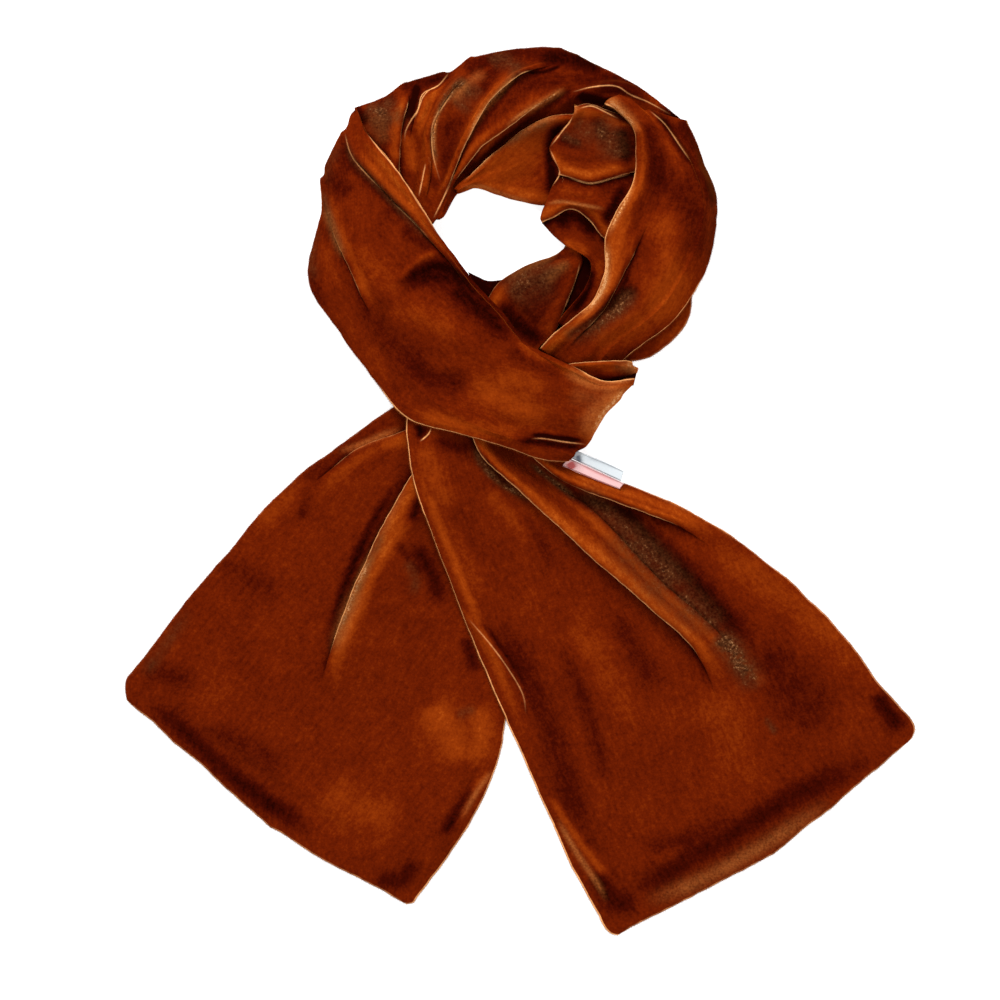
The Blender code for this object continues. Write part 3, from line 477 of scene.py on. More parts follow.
def solid_lift(node, stretch, knots_at):
    """How far the solid's top stands above the table at each point of its own grid."""
    tree, points = plan_tree(node)
    grid = fill_columns(wall_knots(stretch, knots_at), coarse_columns(stretch))
    lift = np.full(grid.shape[:2], np.nan)
    for i, j in np.ndindex(lift.shape):
        x, y, z = grid[i, j]
        found = tree.find_range((x, y, 0), SAME_PLACE)
        if found:
            lift[i, j] = max(points[k][2] for _, k, _ in found) - z
    missing = int(np.isnan(lift).sum())
    if missing:
        lift = np.where(np.isnan(lift), np.nanmedian(lift), lift)
    return lift, missing

def spread_lift(lift, coarse_at, coarse, fine_at, fine):
    """The lift of the coarse grid at every point of the fine one."""
    coarse_place = np.array([knot + part for knot, part in coarse])
    fine_place = np.array([knot + part for knot, part in fine])
    lines = np.array([np.interp(fine_place, coarse_place, line) for line in lift])
    field = np.array([np.interp(fine_at, coarse_at, column) for column in lines.T]).T
    return soften(field, LIFT_SOFTNESS)

# %% [markdown]
# ## Creases
# Besides its folds a scarf has shallow creases, from how it was packed and how it was pulled. Each is one
# row here: a trough or a ridge that follows a short line, dies away at both ends and is
# steeper on one side. The cloth between them isn't flat either, so slow waves a millimetre high run
# through all of it.

# %% Waves, unevenness and creases
WAVE_RUN = 46.0         # from one slow wave to the next
WAVE_HEIGHT = 0.7
RIPPLE_RUN = 13.0
RIPPLE_HEIGHT = 0.16
WOBBLE_RUN = 21.0       # along an edge that isn't quite straight
WOBBLE = 1.0
FINE_RUN = 5.0
FINE_WOBBLE = 0.3
WOBBLE_LAYER = 0.5      # every unevenness is read from a layer of the noise of its own
FINE_LAYER = 3.5
RIPPLE_LAYER = 5        # above the layer that is the stretch's own seed
LINE_STEPS = 24         # straight runs that stand for a listed line
TAPER_IN = 0.22         # a listed line has its full strength from this share of its length
TAPER_OUT = 0.70        # until this one
SKEW_TURN = 2           # how suddenly a skewed crease goes over from its steep side to its flat one
NOISE_SEED = 1          # Blender's vector noise takes its seed from the clock unless it is set
noise.seed_set(NOISE_SEED)

def off_line(course, plan):
    """Signed distance of points from a smooth listed line, and the share of the line that is nearest."""
    course = on_table(course)
    line = smooth_line(course, reach(course), np.linspace(0, 1, LINE_STEPS + 1))
    shares = reach(line)
    nearest = np.full(plan.shape[:-1], np.inf)
    side = np.zeros(plan.shape[:-1])
    share = np.zeros(plan.shape[:-1])
    for k in range(LINE_STEPS):
        run = line[k + 1] - line[k]
        offset = plan - line[k]
        part = np.clip((offset @ run) / (run @ run), 0, 1)
        distance = np.linalg.norm(offset - part[..., None] * run, axis=-1)
        closer = distance < nearest
        nearest = np.where(closer, distance, nearest)
        side = np.where(closer, np.sign(run[0] * offset[..., 1] - run[1] * offset[..., 0]), side)
        share = np.where(closer, shares[k] + (shares[k + 1] - shares[k]) * part, share)
    return nearest * side, share

def taper(share):
    """1 along most of a listed line, and 0 at its ends."""
    return ease(0, TAPER_IN, share) * (1 - ease(TAPER_OUT, 1, share))

def crease_relief(creases, plan):
    """How far some creases move the cloth up or down."""
    relief = np.zeros(plan.shape[:-1])
    for depth, width, skew, *course in creases:
        distance, share = off_line(course, plan)
        across = distance / (width * PIXEL)
        profile = np.exp(-across * across) * (1 + skew * np.tanh(SKEW_TURN * across))
        relief += depth * profile * taper(share)
    return relief

def wobble(plan):
    """Small sideways unevenness, which no real edge is without. It is the same for all stretches."""
    flat = plan.reshape(-1, 2)
    moved = [noise.noise_vector(Vector((x / WOBBLE_RUN, y / WOBBLE_RUN, WOBBLE_LAYER))) * WOBBLE
             + noise.noise_vector(Vector((x / FINE_RUN, y / FINE_RUN, FINE_LAYER))) * FINE_WOBBLE
             for x, y in flat]
    return np.array([vector[:2] for vector in moved]).reshape(plan.shape)

def wave_relief(plan, seed):
    """Slow waves and small ripples all over a stretch."""
    flat = plan.reshape(-1, 2)
    waves = [noise.noise(Vector((x / WAVE_RUN, y / WAVE_RUN, seed))) for x, y in flat]
    ripples = [noise.noise(Vector((x / RIPPLE_RUN, y / RIPPLE_RUN, seed + RIPPLE_LAYER))) for x, y in flat]
    relief = WAVE_HEIGHT * np.array(waves) + RIPPLE_HEIGHT * np.array(ripples)
    return relief.reshape(plan.shape[:-1])

# %% [markdown]
# ## The wall's other faces
# The cloth has a lower face too, and a rolled edge all round, because a bagged scarf has no cut edges: the
# seam is turned inside. The lower face needs no folds of its own. It lies one cloth below the lowest part
# of the top near it, which also keeps it clear of the undercuts.

# %% Lower face and rolled edge
PLAN_SOFTNESS = 6       # rounds in which the lower face's folds are evened out, seen from above
LOW_REACH = 3           # columns and cuts round a point in which the top's lowest part is looked for
MAX_SLANT = 0.45        # cloth steeper than this counts as no steeper, or its wall would hang too low
THINNEST = 0.5          # the least share of the cloth that is left between the faces
EDGE_STEPS = 3          # points round the edge's roll
EDGE_INSET = 0.8        # the faces stop this far inside the outline, and the roll fills it
ROLL_RUNS = (0.08, 0.5, 2.0)    # how far round the roll each ring of its points counts as being
PAST_FOLD = 6           # columns from the border to the crest of a fold that stands there

def steepness(grid):
    """The upward part of the normal at each point of a grid."""
    along = np.gradient(grid, axis=0)
    across = np.gradient(grid, axis=1)
    return np.abs(unit(np.cross(across, along))[..., 2])

def lowest_near(field, steps):
    for _ in range(steps):
        padded = np.pad(field, 1, mode="edge")
        around = [padded[a:a + field.shape[0], b:b + field.shape[1]] for a in range(3) for b in range(3)]
        field = np.min(around, axis=0)
    return field

def lower_face(top, cloth):
    lower = top.copy()
    lower[..., :2] = soften(top[..., :2], PLAN_SOFTNESS)
    low = soften(lowest_near(top[..., 2], LOW_REACH), LOW_REACH)
    slant = np.maximum(soften(steepness(top), LOW_REACH), MAX_SLANT)
    lower[..., 2] = np.minimum(low - cloth / slant, top[..., 2] - cloth * THINNEST)
    lower[..., 2] = np.maximum(lower[..., 2], 0)
    return lower

def rim_of(rows, columns):
    """The grid's border, once round."""
    rim = [(0, j) for j in range(columns)] + [(i, columns - 1) for i in range(1, rows)]
    rim += [(rows - 1, j) for j in range(columns - 2, -1, -1)]
    return rim + [(i, 0) for i in range(rows - 2, 0, -1)]

def rolled_rim(top, lower, rim, lipped):
    """Draw both faces in at their border, and give the rings of points that roll round between them."""
    rows, columns = top.shape[:2]
    outward = []
    for i, j in rim:
        inner = top[min(max(i, 1), rows - 2), min(max(j, PAST_FOLD), columns - 1 - PAST_FOLD)]
        outward.append(unit((top[i, j] - inner) * (1, 1, 0)))
    rings = []
    for (i, j), out in zip(rim, outward):
        under_fold = (j == 0 and lipped[0]) or (j == columns - 1 and lipped[1])
        if not under_fold:
            top[i, j] -= out * EDGE_INSET
        lower[i, j] = (*top[i, j, :2], min(lower[i, j, 2], top[i, j, 2] - CLOTH * THINNEST / 2))
        middle, half = (top[i, j] + lower[i, j]) / 2, (top[i, j] - lower[i, j]) / 2
        bulge = min(np.linalg.norm(half), EDGE_INSET)
        turns = [math.pi * k / (EDGE_STEPS + 1) for k in range(1, EDGE_STEPS + 1)]
        rings.append([middle + half * math.cos(turn) + out * bulge * math.sin(turn) for turn in turns])
    return np.array(rings)

# %% [markdown]
# ## What a stretch knows about itself
# The velvet's pile and the light and shade painted into its colour follow the folds. So each point of a mesh
# carries a few numbers for the material to read: how far in millimetres it is from the nearest painted
# highlight, and how much painted shade, painted light, brushed and crushed pile it has. A distance stays
# sharp between points that are wider apart than the highlight line itself, which a painted mask can't.

# %% Marks of the nap, and of painted light and shade
FAR = 30.0              # a distance at which nothing of a painted edge highlight is left
FADE_OUT = 2.5          # a painted edge highlight dies away as if it went this far off
SHADE_RUN = 5.0         # how far the painted shade reaches beside a fold
FOLD_LINE = 1.8         # the painted highlight is this much wider on a fold, where it is seen from the side
GAP_RUN = 2.3           # the painted shadow under a fold's edge reaches this far past the fold's foot
GAP_SHADE = 1.5
SHADE_START = -0.5      # the painted shade beside a fold comes up from here to SHADE_FULL, counted from its edge
SHADE_FULL = 2.0
LEAST_RISE = 1.0        # a fold no higher than this has no marks, and one of FULL_RISE has all of them
FULL_RISE = 5.0
LIT_SIDE_PLACE = 6.0        # the painted light on a fold's lit top is this far back from its edge
LIT_SIDE_RUN = 4.5
LINE_REACH = 4.0        # further than this from a listed highlight line, nothing of it is left

def plain_fields(shape):
    """The numbers of cloth that has no marks at all."""
    return {"glint": np.full(shape, FAR), "shade": np.zeros(shape), "warm": np.zeros(shape),
            "brushed": np.zeros(shape), "crushed": np.zeros(shape), "line": np.full(shape, -FAR),
            "lit": np.zeros(shape)}

def distances(grid, axis):
    """How far the cloth runs from a grid's border to each of its points."""
    steps = np.linalg.norm(np.diff(grid, axis=axis), axis=2)
    ahead = [(0, 0), (0, 0)]
    ahead[axis] = (1, 0)
    return np.cumsum(np.pad(steps, ahead), axis=axis)

def edge_columns(stretch, columns):
    """For each fold with a lip, the columns of its edge and foot, and the side on which its foot is."""
    found, knot = [], 0
    for fold in stretch.folds:
        if fold.lip:
            foot = columns.index((knot + 2 if fold.lip > 0 else knot, 0.0))
            found.append((fold, columns.index((knot + 1, 0.0)), foot, math.copysign(1, fold.lip)))
            knot += 3
        else:
            knot += 1
    return found

def fold_marks(stretch, top, at, columns, trims):
    """The painted highlights, shade and light that follow from the table alone, and how far across and along
    the cloth each point is.
    """
    across, along = distances(top, 1), distances(top, 0)
    fields = plain_fields(across.shape)
    for fold, edge, foot, side in edge_columns(stretch, columns):
        strength = (fold_strength(fold, at) * ease(LEAST_RISE, FULL_RISE, fold.rise))[:, None]
        offset = (across - across[:, edge:edge + 1]) * side
        past_foot = np.maximum((across - across[:, foot:foot + 1]) * side, 0)
        # Each fold with a lip gets a painted highlight on its edge, painted shade beside its foot with a
        # darker painted shadow in the gap under the edge, and painted light on its lit top
        away = np.abs(offset) / FOLD_LINE + FADE_OUT * (1 - strength)
        beside = np.maximum(np.exp(-past_foot / SHADE_RUN), GAP_SHADE * np.exp(-(past_foot / GAP_RUN) ** 2))
        shade = beside * ease(SHADE_START, SHADE_FULL, offset) * strength
        warm = np.exp(-((offset + LIT_SIDE_PLACE) / LIT_SIDE_RUN) ** 2) * strength
        fields["glint"] = np.minimum(fields["glint"], away)
        fields["shade"] = np.maximum(fields["shade"], shade)
        fields["warm"] = np.maximum(fields["warm"], warm)
    # Each border that is a real edge gets a painted highlight, as strong as its trim
    edges = (across, across[:, -1:] - across, along, along[-1:] - along)
    for distance, strength in zip(edges, trims):
        if strength:
            fields["glint"] = np.minimum(fields["glint"], distance + FADE_OUT * (1 - strength))
    return across, along, fields

def hand_marks(marks, plan, fields):
    """Add the listed marks: painted shade, painted light, painted highlight lines, and brushed and crushed
    pile.
    """
    for kind, rows in marks.items():
        for amount, width, *course in rows:
            distance, share = off_line(course, plan)
            fade = taper(share) * amount
            spread = fade * np.exp(-(distance / (width * PIXEL)) ** 2)
            if kind == "dull":
                fields["glint"] = fields["glint"] + FADE_OUT * spread
            elif kind == "bright":
                nearer = np.abs(distance) < np.abs(fields["line"])
                fields["line"] = np.where(nearer, distance, fields["line"])
                near = 1 - ease(LINE_REACH / 2, LINE_REACH, np.abs(distance))
                fields["lit"] = np.where(nearer, fade * near, fields["lit"])
            else:
                fields[kind] = np.maximum(fields[kind], spread)

# %% Mesh of a stretch
def grid_faces(rows, columns, first):
    i, j = np.meshgrid(np.arange(rows - 1), np.arange(columns - 1), indexing="ij")
    a = (first + i * columns + j).ravel()
    return np.stack([a, a + 1, a + columns + 1, a + columns], axis=1)

def wall_mesh(name, top, lower, fields, across, along, lipped):
    """A closed mesh of the top, the lower face and the roll between them, which carries the marks."""
    rows, columns = top.shape[:2]
    rim = rim_of(rows, columns)
    facing_up = np.cross(np.gradient(top, axis=1), np.gradient(top, axis=0))[..., 2].sum() > 0
    rings = rolled_rim(top, lower, rim, lipped)
    points = np.concatenate([part.reshape(-1, 3) for part in (top, lower, rings.transpose(1, 0, 2))])
    size = rows * columns
    count = len(rim)
    border = np.array([i * columns + j for i, j in rim])
    loops = [border] + [2 * size + count * k + np.arange(count) for k in range(EDGE_STEPS)] + [size + border]
    faces = [grid_faces(rows, columns, 0), grid_faces(rows, columns, size)[:, ::-1]]
    for near, far in zip(loops, loops[1:]):
        faces.append(np.stack([np.roll(near, -1), near, far, np.roll(far, -1)], axis=1))
    faces = np.concatenate(faces)
    if not facing_up:
        faces = faces[:, ::-1]
    mesh = bpy.data.meshes.new(name)
    mesh.from_pydata((points - MIDDLE) * MM, [], faces.tolist())

    def everywhere(field, runs=(0,) * EDGE_STEPS, below=0):
        flat = field.ravel()
        rolls = [flat[border] + run for run in runs]
        return np.concatenate([flat, flat + below] + rolls)

    away = everywhere(fields["glint"], ROLL_RUNS, FAR)
    numbers = {key: everywhere(field) for key, field in fields.items()}
    numbers["glint"] = 1 - np.minimum(away, FAR) / FAR
    numbers["line"] = (1 + np.clip(numbers["line"], -FAR, FAR) / FAR) / 2
    for key, values in numbers.items():
        mesh.attributes.new(key, "FLOAT", "POINT").data.foreach_set("value", values.astype(np.float32))
    corners = np.empty(len(mesh.loops), np.int32)
    mesh.loops.foreach_get("vertex_index", corners)
    layer = mesh.uv_layers.new(name="cloth")
    weave = np.stack([everywhere(across), everywhere(along)], axis=1)[corners] * MM
    layer.data.foreach_set("uv", weave.ravel().astype(np.float32))
    mesh.validate()
    mesh.shade_smooth()
    return mesh

def real_edges(mesh, shape, trims):
    """Lines along the borders that are real edges: their points, and the directions out of the cloth."""
    rim = np.array(rim_of(*shape))
    middle_ring = 2 * shape[0] * shape[1] + len(rim) * (EDGE_STEPS // 2)
    places = np.empty(len(mesh.vertices) * 3)
    mesh.vertices.foreach_get("co", places)
    places = places.reshape(-1, 3)
    borders = (rim[:, 1] == 0, rim[:, 1] == shape[1] - 1, rim[:, 0] == 0, rim[:, 0] == shape[0] - 1)
    lines = []
    for border, strength in zip(borders, trims):
        if strength:
            on_border = np.flatnonzero(border)
            on_border = on_border[np.argsort(rim[on_border].sum(axis=1))]
            points = places[middle_ring + on_border]
            inner = places[rim[on_border, 0] * shape[1] + rim[on_border, 1]]
            lines.append((points, unit((points - inner) * (1, 1, 0))))
    return lines

def face_area(top):
    """The area of the cloth's top, in square metres."""
    cells = np.cross(np.diff(top, axis=1)[:-1], np.diff(top, axis=0)[:, :-1])
    return float(np.linalg.norm(cells, axis=2).sum()) * MM * MM

# %% [markdown]
# ## Materials
# A material is written here as sums and products of values, so a shader reads like the formula that it is.
# The Value class adds one math node for each sign. Every colour is made from noise and from the numbers
# that the mesh carries, so no picture is needed.

# %% Nodes
def new_node(tree, kind, inputs=(), **settings):
    """A node with its settings, and then with its sockets joined to others or given their values."""
    node = tree.nodes.new(kind)
    for key, value in settings.items():
        setattr(node, key, value)
    for key, value in dict(inputs).items():
        if isinstance(value, Value):
            value = value.socket
        if isinstance(value, bpy.types.NodeSocket):
            tree.links.new(value, node.inputs[key])
        else:
            node.inputs[key].default_value = value
    return node

# %% Arithmetic with shader values
NOISE_MIDDLE = 0.5
NOISE_SPREAD = 2.6      # Blender's noise keeps near its middle, and this brings it out to about -1 and 1
SCREEN_WHITE = 255

class Value:
    """A single value in a material's node tree."""

    def __init__(self, graph, socket):
        self.graph, self.socket = graph, socket

    def math(self, operation, *operands, clamp=False):
        inputs = dict(enumerate(operands or (self,)))
        node = self.graph.node("ShaderNodeMath", inputs, operation=operation, use_clamp=clamp)
        return Value(self.graph, node.outputs[0])

    def __add__(self, other):
        return self.math("ADD", self, other)

    def __mul__(self, other):
        return self.math("MULTIPLY", self, other)

    def __sub__(self, other):
        return self.math("SUBTRACT", self, other)

    def __truediv__(self, other):
        return self.math("DIVIDE", self, other)

    def __rsub__(self, other):
        return self.math("SUBTRACT", other, self)

    __radd__ = __add__
    __rmul__ = __mul__

    def clamp(self):
        return self.math("ADD", self, 0.0, clamp=True)

    def bell(self, width):
        """1 where the value is 0, and less as it goes away from 0 either way."""
        part = self / width
        return (part * part * -1.0).math("EXPONENT")

    def step(self, low, high):
        """A soft step from 0 to 1."""
        inputs = {0: self, 1: low, 2: high}
        node = self.graph.node("ShaderNodeMapRange", inputs, interpolation_type="SMOOTHSTEP")
        return Value(self.graph, node.outputs[0])

class Graph:
    """A material's node tree, built in code."""

    def __init__(self, name):
        self.material = bpy.data.materials.new(name)
        self.material.use_nodes = True
        self.tree = self.material.node_tree
        self.tree.nodes.clear()

    def node(self, kind, inputs=(), **settings):
        return new_node(self.tree, kind, inputs, **settings)

    def attribute(self, name):
        return Value(self, self.node("ShaderNodeAttribute", attribute_name=name).outputs["Fac"])

    def noise(self, where, scale, detail, stretch=(1, 1, 1)):
        """Noise around 0, from about -1 to 1. The scale is in waves a metre."""
        mapped = self.node("ShaderNodeMapping", {"Vector": where, "Scale": [scale * s for s in stretch]})
        field = self.node("ShaderNodeTexNoise", {"Vector": mapped.outputs[0], "Scale": 1.0, "Detail": detail})
        return (Value(self, field.outputs[0]) - NOISE_MIDDLE) * NOISE_SPREAD

    def mix(self, first, second, factor):
        """A colour between two colours."""
        node = self.node("ShaderNodeMix", {6: first, 7: second, 0: factor}, data_type="RGBA")
        return node.outputs[2]

    def ramp(self, factor, stops):
        node = self.node("ShaderNodeValToRGB", {0: factor})
        ramp = node.color_ramp
        while len(ramp.elements) < len(stops):
            ramp.elements.new(1)
        for element, (place, colour) in zip(ramp.elements, stops):
            element.position, element.color = place, colour
        return node.outputs[0]

    def finish(self, surface):
        self.node("ShaderNodeOutputMaterial", {"Surface": surface})
        return self.material

def paint(*colour):
    """A colour as it looks on a screen, from 0 to 255, as the shader wants it: by the sRGB curve."""
    shares = [part / SCREEN_WHITE for part in colour]
    return (*[s / 12.92 if s <= 0.04045 else ((s + 0.055) / 1.055) ** 2.4 for s in shares], 1)

# %% [markdown]
# ## Velvet
# One *tone* runs from deep to orange, made of clouds the size of a fingertip and fine streaks along the
# cloth, with painted shade beside the folds and in the gaps taking it down and painted light on the folds'
# lit sides taking it up. On top of it come the brushed parts, the crushed parts, which are a speckle of pale
# and dark, and at last the thin painted highlights along the edges.

# %% Velvet's colours, painted shade and painted highlights among them
DEEP = paint(30, 3, 1)
DARK = paint(66, 11, 2)
RUST = paint(103, 28, 3)
ORANGE = paint(140, 52, 7)
GLOW = paint(176, 82, 20)
BRUSHED = paint(186, 108, 50)
# The colour of the painted highlights along the edges
PAINTED_HIGHLIGHT = paint(255, 178, 110)
OLIVE = paint(44, 18, 8)
BRUISE = paint(112, 62, 30)
SPECK = paint(220, 158, 104)
SHEEN = paint(255, 130, 50)
# The tone runs down towards DEEP through painted shade and up towards GLOW through painted light
TONES = ((0.0, DEEP), (0.24, DARK), (0.50, RUST), (0.78, ORANGE), (1.0, GLOW))

# %% How uneven the pile is
# Each unevenness has its waves in a metre, its detail and, along the cloth, how it is stretched
CLOUDS = (85, 3.0)
PATCHES = (26, 2.0)
STREAKS = (140, 2.0, (3.2, 0.55, 1))
MOTTLE = (300, 3.0)
LACE = (560, 4.0)
GRAIN = (760, 2.0)
FLECK = (1150, 1.0)
EDGE_BREAKS = (150, 3.0)
MIDDLE_TONE = 0.45      # of the pile, before painted light and shade
LIT_SIDE_TONE = 0.36        # added where painted light falls on a fold's lit side
SHADE_TONE = 0.46       # taken away where there is painted shade
EDGE_WIDTH = 0.40       # of the painted highlight along an edge, in millimetres to either side
DRAWN_WIDTH = 0.38      # of a listed painted highlight line
EDGE_LIGHT = 0.84
PILE_BUMP = 0.0005

# %% The velvet material
def velvet_material():
    graph = Graph("velvet")
    where = graph.node("ShaderNodeTexCoord").outputs["Object"]
    cloth = graph.node("ShaderNodeUVMap", uv_map="cloth").outputs[0]
    glint, shade, warm = graph.attribute("glint"), graph.attribute("shade"), graph.attribute("warm")
    brushed, crushed = graph.attribute("brushed"), graph.attribute("crushed")
    distance = (1.0 - glint) * FAR
    by_line, lit = (graph.attribute("line") * 2.0 - 1.0) * FAR, graph.attribute("lit")
    clouds = graph.noise(where, *CLOUDS)
    patches = graph.noise(where, *PATCHES)
    streaks = graph.noise(cloth, *STREAKS)
    mottle = graph.noise(where, *MOTTLE)
    lace = graph.noise(where, *LACE)
    grain = graph.noise(where, *GRAIN)
    # The tone, with painted light on the folds' lit sides and painted shade beside them and in the gaps
    tone = (MIDDLE_TONE + clouds * 0.07 + patches * 0.07 + streaks * 0.09 + mottle * 0.12 + grain * 0.12
            + warm * LIT_SIDE_TONE - shade * SHADE_TONE)
    colour = graph.ramp(tone.clamp(), TONES)
    fleck = graph.noise(where, *FLECK)
    colour = graph.mix(colour, BRUSHED, (brushed * (0.55 + grain * 0.5 + clouds * 0.25)).clamp())
    specks = (fleck * 0.6 + lace * 0.7 + brushed - 0.9).step(0.0, 1.0)
    colour = graph.mix(colour, SPECK, specks * brushed * 0.9)
    pressed = (crushed * (0.95 + clouds * 0.8 + mottle * 0.6)).clamp()
    colour = graph.mix(colour, OLIVE, pressed)
    colour = graph.mix(colour, BRUISE, ((lace * 0.6 + grain * 0.35 + 0.34) * pressed).clamp())
    specks = (fleck * 0.6 + lace * 0.8 + pressed * 0.5 - 0.5).step(0.0, 1.2)
    colour = graph.mix(colour, SPECK, specks * pressed * 0.8)
    # Painted highlights: thin pale lines along the edges and along the listed highlight lines
    uneven = graph.noise(where, *EDGE_BREAKS)
    strength = EDGE_LIGHT + uneven * 0.48 + grain * 0.25
    line = distance.bell(uneven * 0.12 + EDGE_WIDTH) * strength
    drawn = by_line.bell(uneven * 0.10 + DRAWN_WIDTH) * lit * strength
    colour = graph.mix(colour, PAINTED_HIGHLIGHT, (line + drawn).clamp())
    bump = graph.node("ShaderNodeBump", {"Height": grain * 0.3 + fleck * crushed * 0.6 + clouds * 0.2,
                                         "Strength": 0.35, "Distance": PILE_BUMP})
    pile = graph.node("ShaderNodeBsdfPrincipled", {
        "Base Color": colour, "Roughness": 1.0, "Specular IOR Level": 0.0, "Sheen Weight": 0.14,
        "Sheen Roughness": 0.3, "Sheen Tint": SHEEN, "Normal": bump.outputs[0]})
    return graph.finish(pile.outputs[0])

# %% The pile's pale tips
TIP_CLOUDS = (420, 2.0)

def tip_material():
    graph = Graph("pile_tips")
    where = graph.node("ShaderNodeTexCoord").outputs["Object"]
    bright = graph.noise(where, *TIP_CLOUDS) * 0.5 + 0.35
    tips = graph.node("ShaderNodeBsdfPrincipled", {
        "Base Color": graph.mix(RUST, BRUSHED, bright.clamp()), "Roughness": 1.0, "Specular IOR Level": 0.0})
    return graph.finish(tips.outputs[0])

# %% [markdown]
# ## Satin
# The two tabs are blank woven satin. It is smooth along the weave, so it shows a soft stripe of light.

# %% The satin materials
WEAVE = (2400, 1.0, (1, 0.12, 1))
WEAVE_BUMP = 0.0002

def satin_material(name, colour, shadow):
    graph = Graph(name)
    cloth = graph.node("ShaderNodeUVMap", uv_map="cloth").outputs[0]
    weave = graph.noise(cloth, *WEAVE)
    # The shade marks paint shade along the tabs' edges, mixed in towards the shadow colour
    shade = graph.attribute("shade")
    mixed = graph.mix(colour, shadow, (shade + weave * 0.05).clamp())
    bump = graph.node("ShaderNodeBump", {"Height": weave, "Strength": 0.15, "Distance": WEAVE_BUMP})
    satin = graph.node("ShaderNodeBsdfPrincipled", {
        "Base Color": mixed, "Roughness": 0.34, "Specular IOR Level": 0.4, "Sheen Weight": 0.1,
        "Normal": bump.outputs[0]})
    return graph.finish(satin.outputs[0])

velvet = velvet_material()
pile_tips = tip_material()
white_satin = satin_material("white_satin", paint(216, 223, 227), paint(122, 130, 142))
pink_satin = satin_material("pink_satin", paint(236, 190, 189), paint(196, 88, 86))
print("four materials, the velvet of", len(velvet.node_tree.nodes), "nodes")

# %% [markdown]
# ## Creases and marks
# One row each, read off the photograph in its pixels, like the courses of the folds. A crease has its
# depth in millimetres, its width and how much steeper one side is, and then its line. A mark has its
# amount and its width, and then its line. *shade* is painted shade, and painted light lightens the lit sides
# of folds, *brushed* was stroked pale, *crushed* was pressed into a speckle, *bright* is one more painted
# highlight along an edge, and *dull* takes such a highlight away, or weakens it where its amount is small.

# %% Creases
CREASES = {}

# %% Creases on the left tail
CREASES["tail_left"] = (
    (-1.6, 7, 0.3, (392, 548), (412, 556), (430, 580), (440, 604)),
    (1.2, 8, 0, (400, 530), (415, 520), (436, 505)),
    (-1, 12, 0.2, (165, 705), (215, 745), (290, 800), (370, 855)),
    (1, 9, 0, (175, 690), (235, 742), (310, 795), (390, 845)),
    (-1.1, 10, 0.3, (300, 470), (306, 500), (290, 540)),
    (1, 14, 0, (250, 560), (300, 640), (380, 720)),
    (-0.9, 12, 0, (420, 640), (440, 700), (430, 770)),
    (1.4, 10, 0.4, (455, 700), (468, 745), (455, 800)),
    (-1.3, 8, 0.3, (472, 770), (455, 805), (435, 840)),
    (-0.8, 9, 0, (330, 700), (345, 750), (340, 800)),
)

# %% Creases on the right tail
CREASES["tail_right"] = (
    (1.6, 6, 0.5, (457, 606), (480, 636), (505, 672), (522, 705)),
    (-1.8, 4.5, 0, (474, 612), (499, 645), (518, 675), (532, 712)),
    (-1.2, 12, 0.2, (615, 905), (690, 870), (770, 825), (850, 765), (895, 730)),
    (1.2, 9, 0, (608, 885), (680, 850), (760, 805), (850, 742)),
    (1, 14, 0.3, (560, 640), (600, 720), (640, 800)),
    (-0.9, 11, 0, (520, 540), (570, 620), (610, 700)),
    (1.2, 8, 0.4, (548, 795), (575, 845), (610, 895)),
    (-1.2, 6, 0, (556, 780), (585, 835), (622, 890)),
    (-1, 16, 0, (760, 660), (800, 705), (850, 740)),
    (1.1, 12, 0, (720, 690), (745, 745), (760, 800)),
    (-2.2, 5, 0.4, (412, 424), (422, 430), (424, 446)),
    (1.2, 5, 0, (430, 428), (429, 436), (420, 446)),
    (0.9, 9, 0, (700, 520), (770, 575), (840, 640)),
)

# %% Creases on the band
CREASES["front_band"] = (
    (2, 6, 0.4, (392, 292), (408, 274), (426, 260), (448, 252)),
    (-4, 12, 0.5, (405, 300), (432, 280), (462, 285), (492, 312)),
    (-1.4, 9, 0, (380, 345), (420, 375), (475, 382)),
    (1.3, 10, 0, (395, 310), (440, 325), (500, 365)),
    (1, 8, 0, (345, 230), (370, 275), (405, 320)),
    (-1, 7, 0.3, (318, 220), (315, 260), (326, 300)),
    (1.2, 9, 0, (430, 400), (500, 412), (560, 425)),
    (-1, 8, 0, (540, 395), (570, 405), (600, 400)),
)

# %% Creases on the top of the ring
CREASES["ring_top"] = (
    (-1.6, 4, 0.3, (424, 90), (430, 105), (428, 130)),
    (1.4, 4, 0, (452, 80), (448, 104), (440, 128)),
    (-1.5, 4, 0, (462, 88), (455, 110), (447, 150)),
    (-1.3, 6, 0.3, (500, 85), (480, 112), (462, 145)),
    (1.2, 5, 0, (480, 70), (470, 88), (464, 104)),
    (-1.2, 4, 0, (372, 104), (388, 124), (394, 160)),
    (1.6, 5, 0.3, (590, 90), (620, 88), (652, 104)),
    (-1.8, 4, 0, (590, 96), (620, 95), (650, 110)),
)

# %% Creases on the panel above the hole
CREASES["ring_inner"] = (
    (1.3, 7, 0, (470, 190), (505, 170), (540, 150)),
    (-1.2, 6, 0, (500, 190), (520, 180), (545, 178)),
)

# %% Creases on the crumpled stretch
CREASES["ring_crumple"] = (
    (-2.2, 4, 0.4, (573, 108), (564, 124), (551, 142)),
    (1.6, 4, 0, (582, 108), (572, 122), (566, 140)),
    (-1.4, 5, 0, (588, 118), (600, 128), (612, 150)),
    (-1.6, 3, 0, (548, 203), (572, 200), (602, 206)),
    (1.5, 4, 0, (560, 190), (585, 194), (612, 190)),
    (1.2, 5, 0, (556, 150), (575, 158), (600, 158)),
    (-1.2, 3.5, 0, (580, 150), (590, 160), (592, 172)),
)

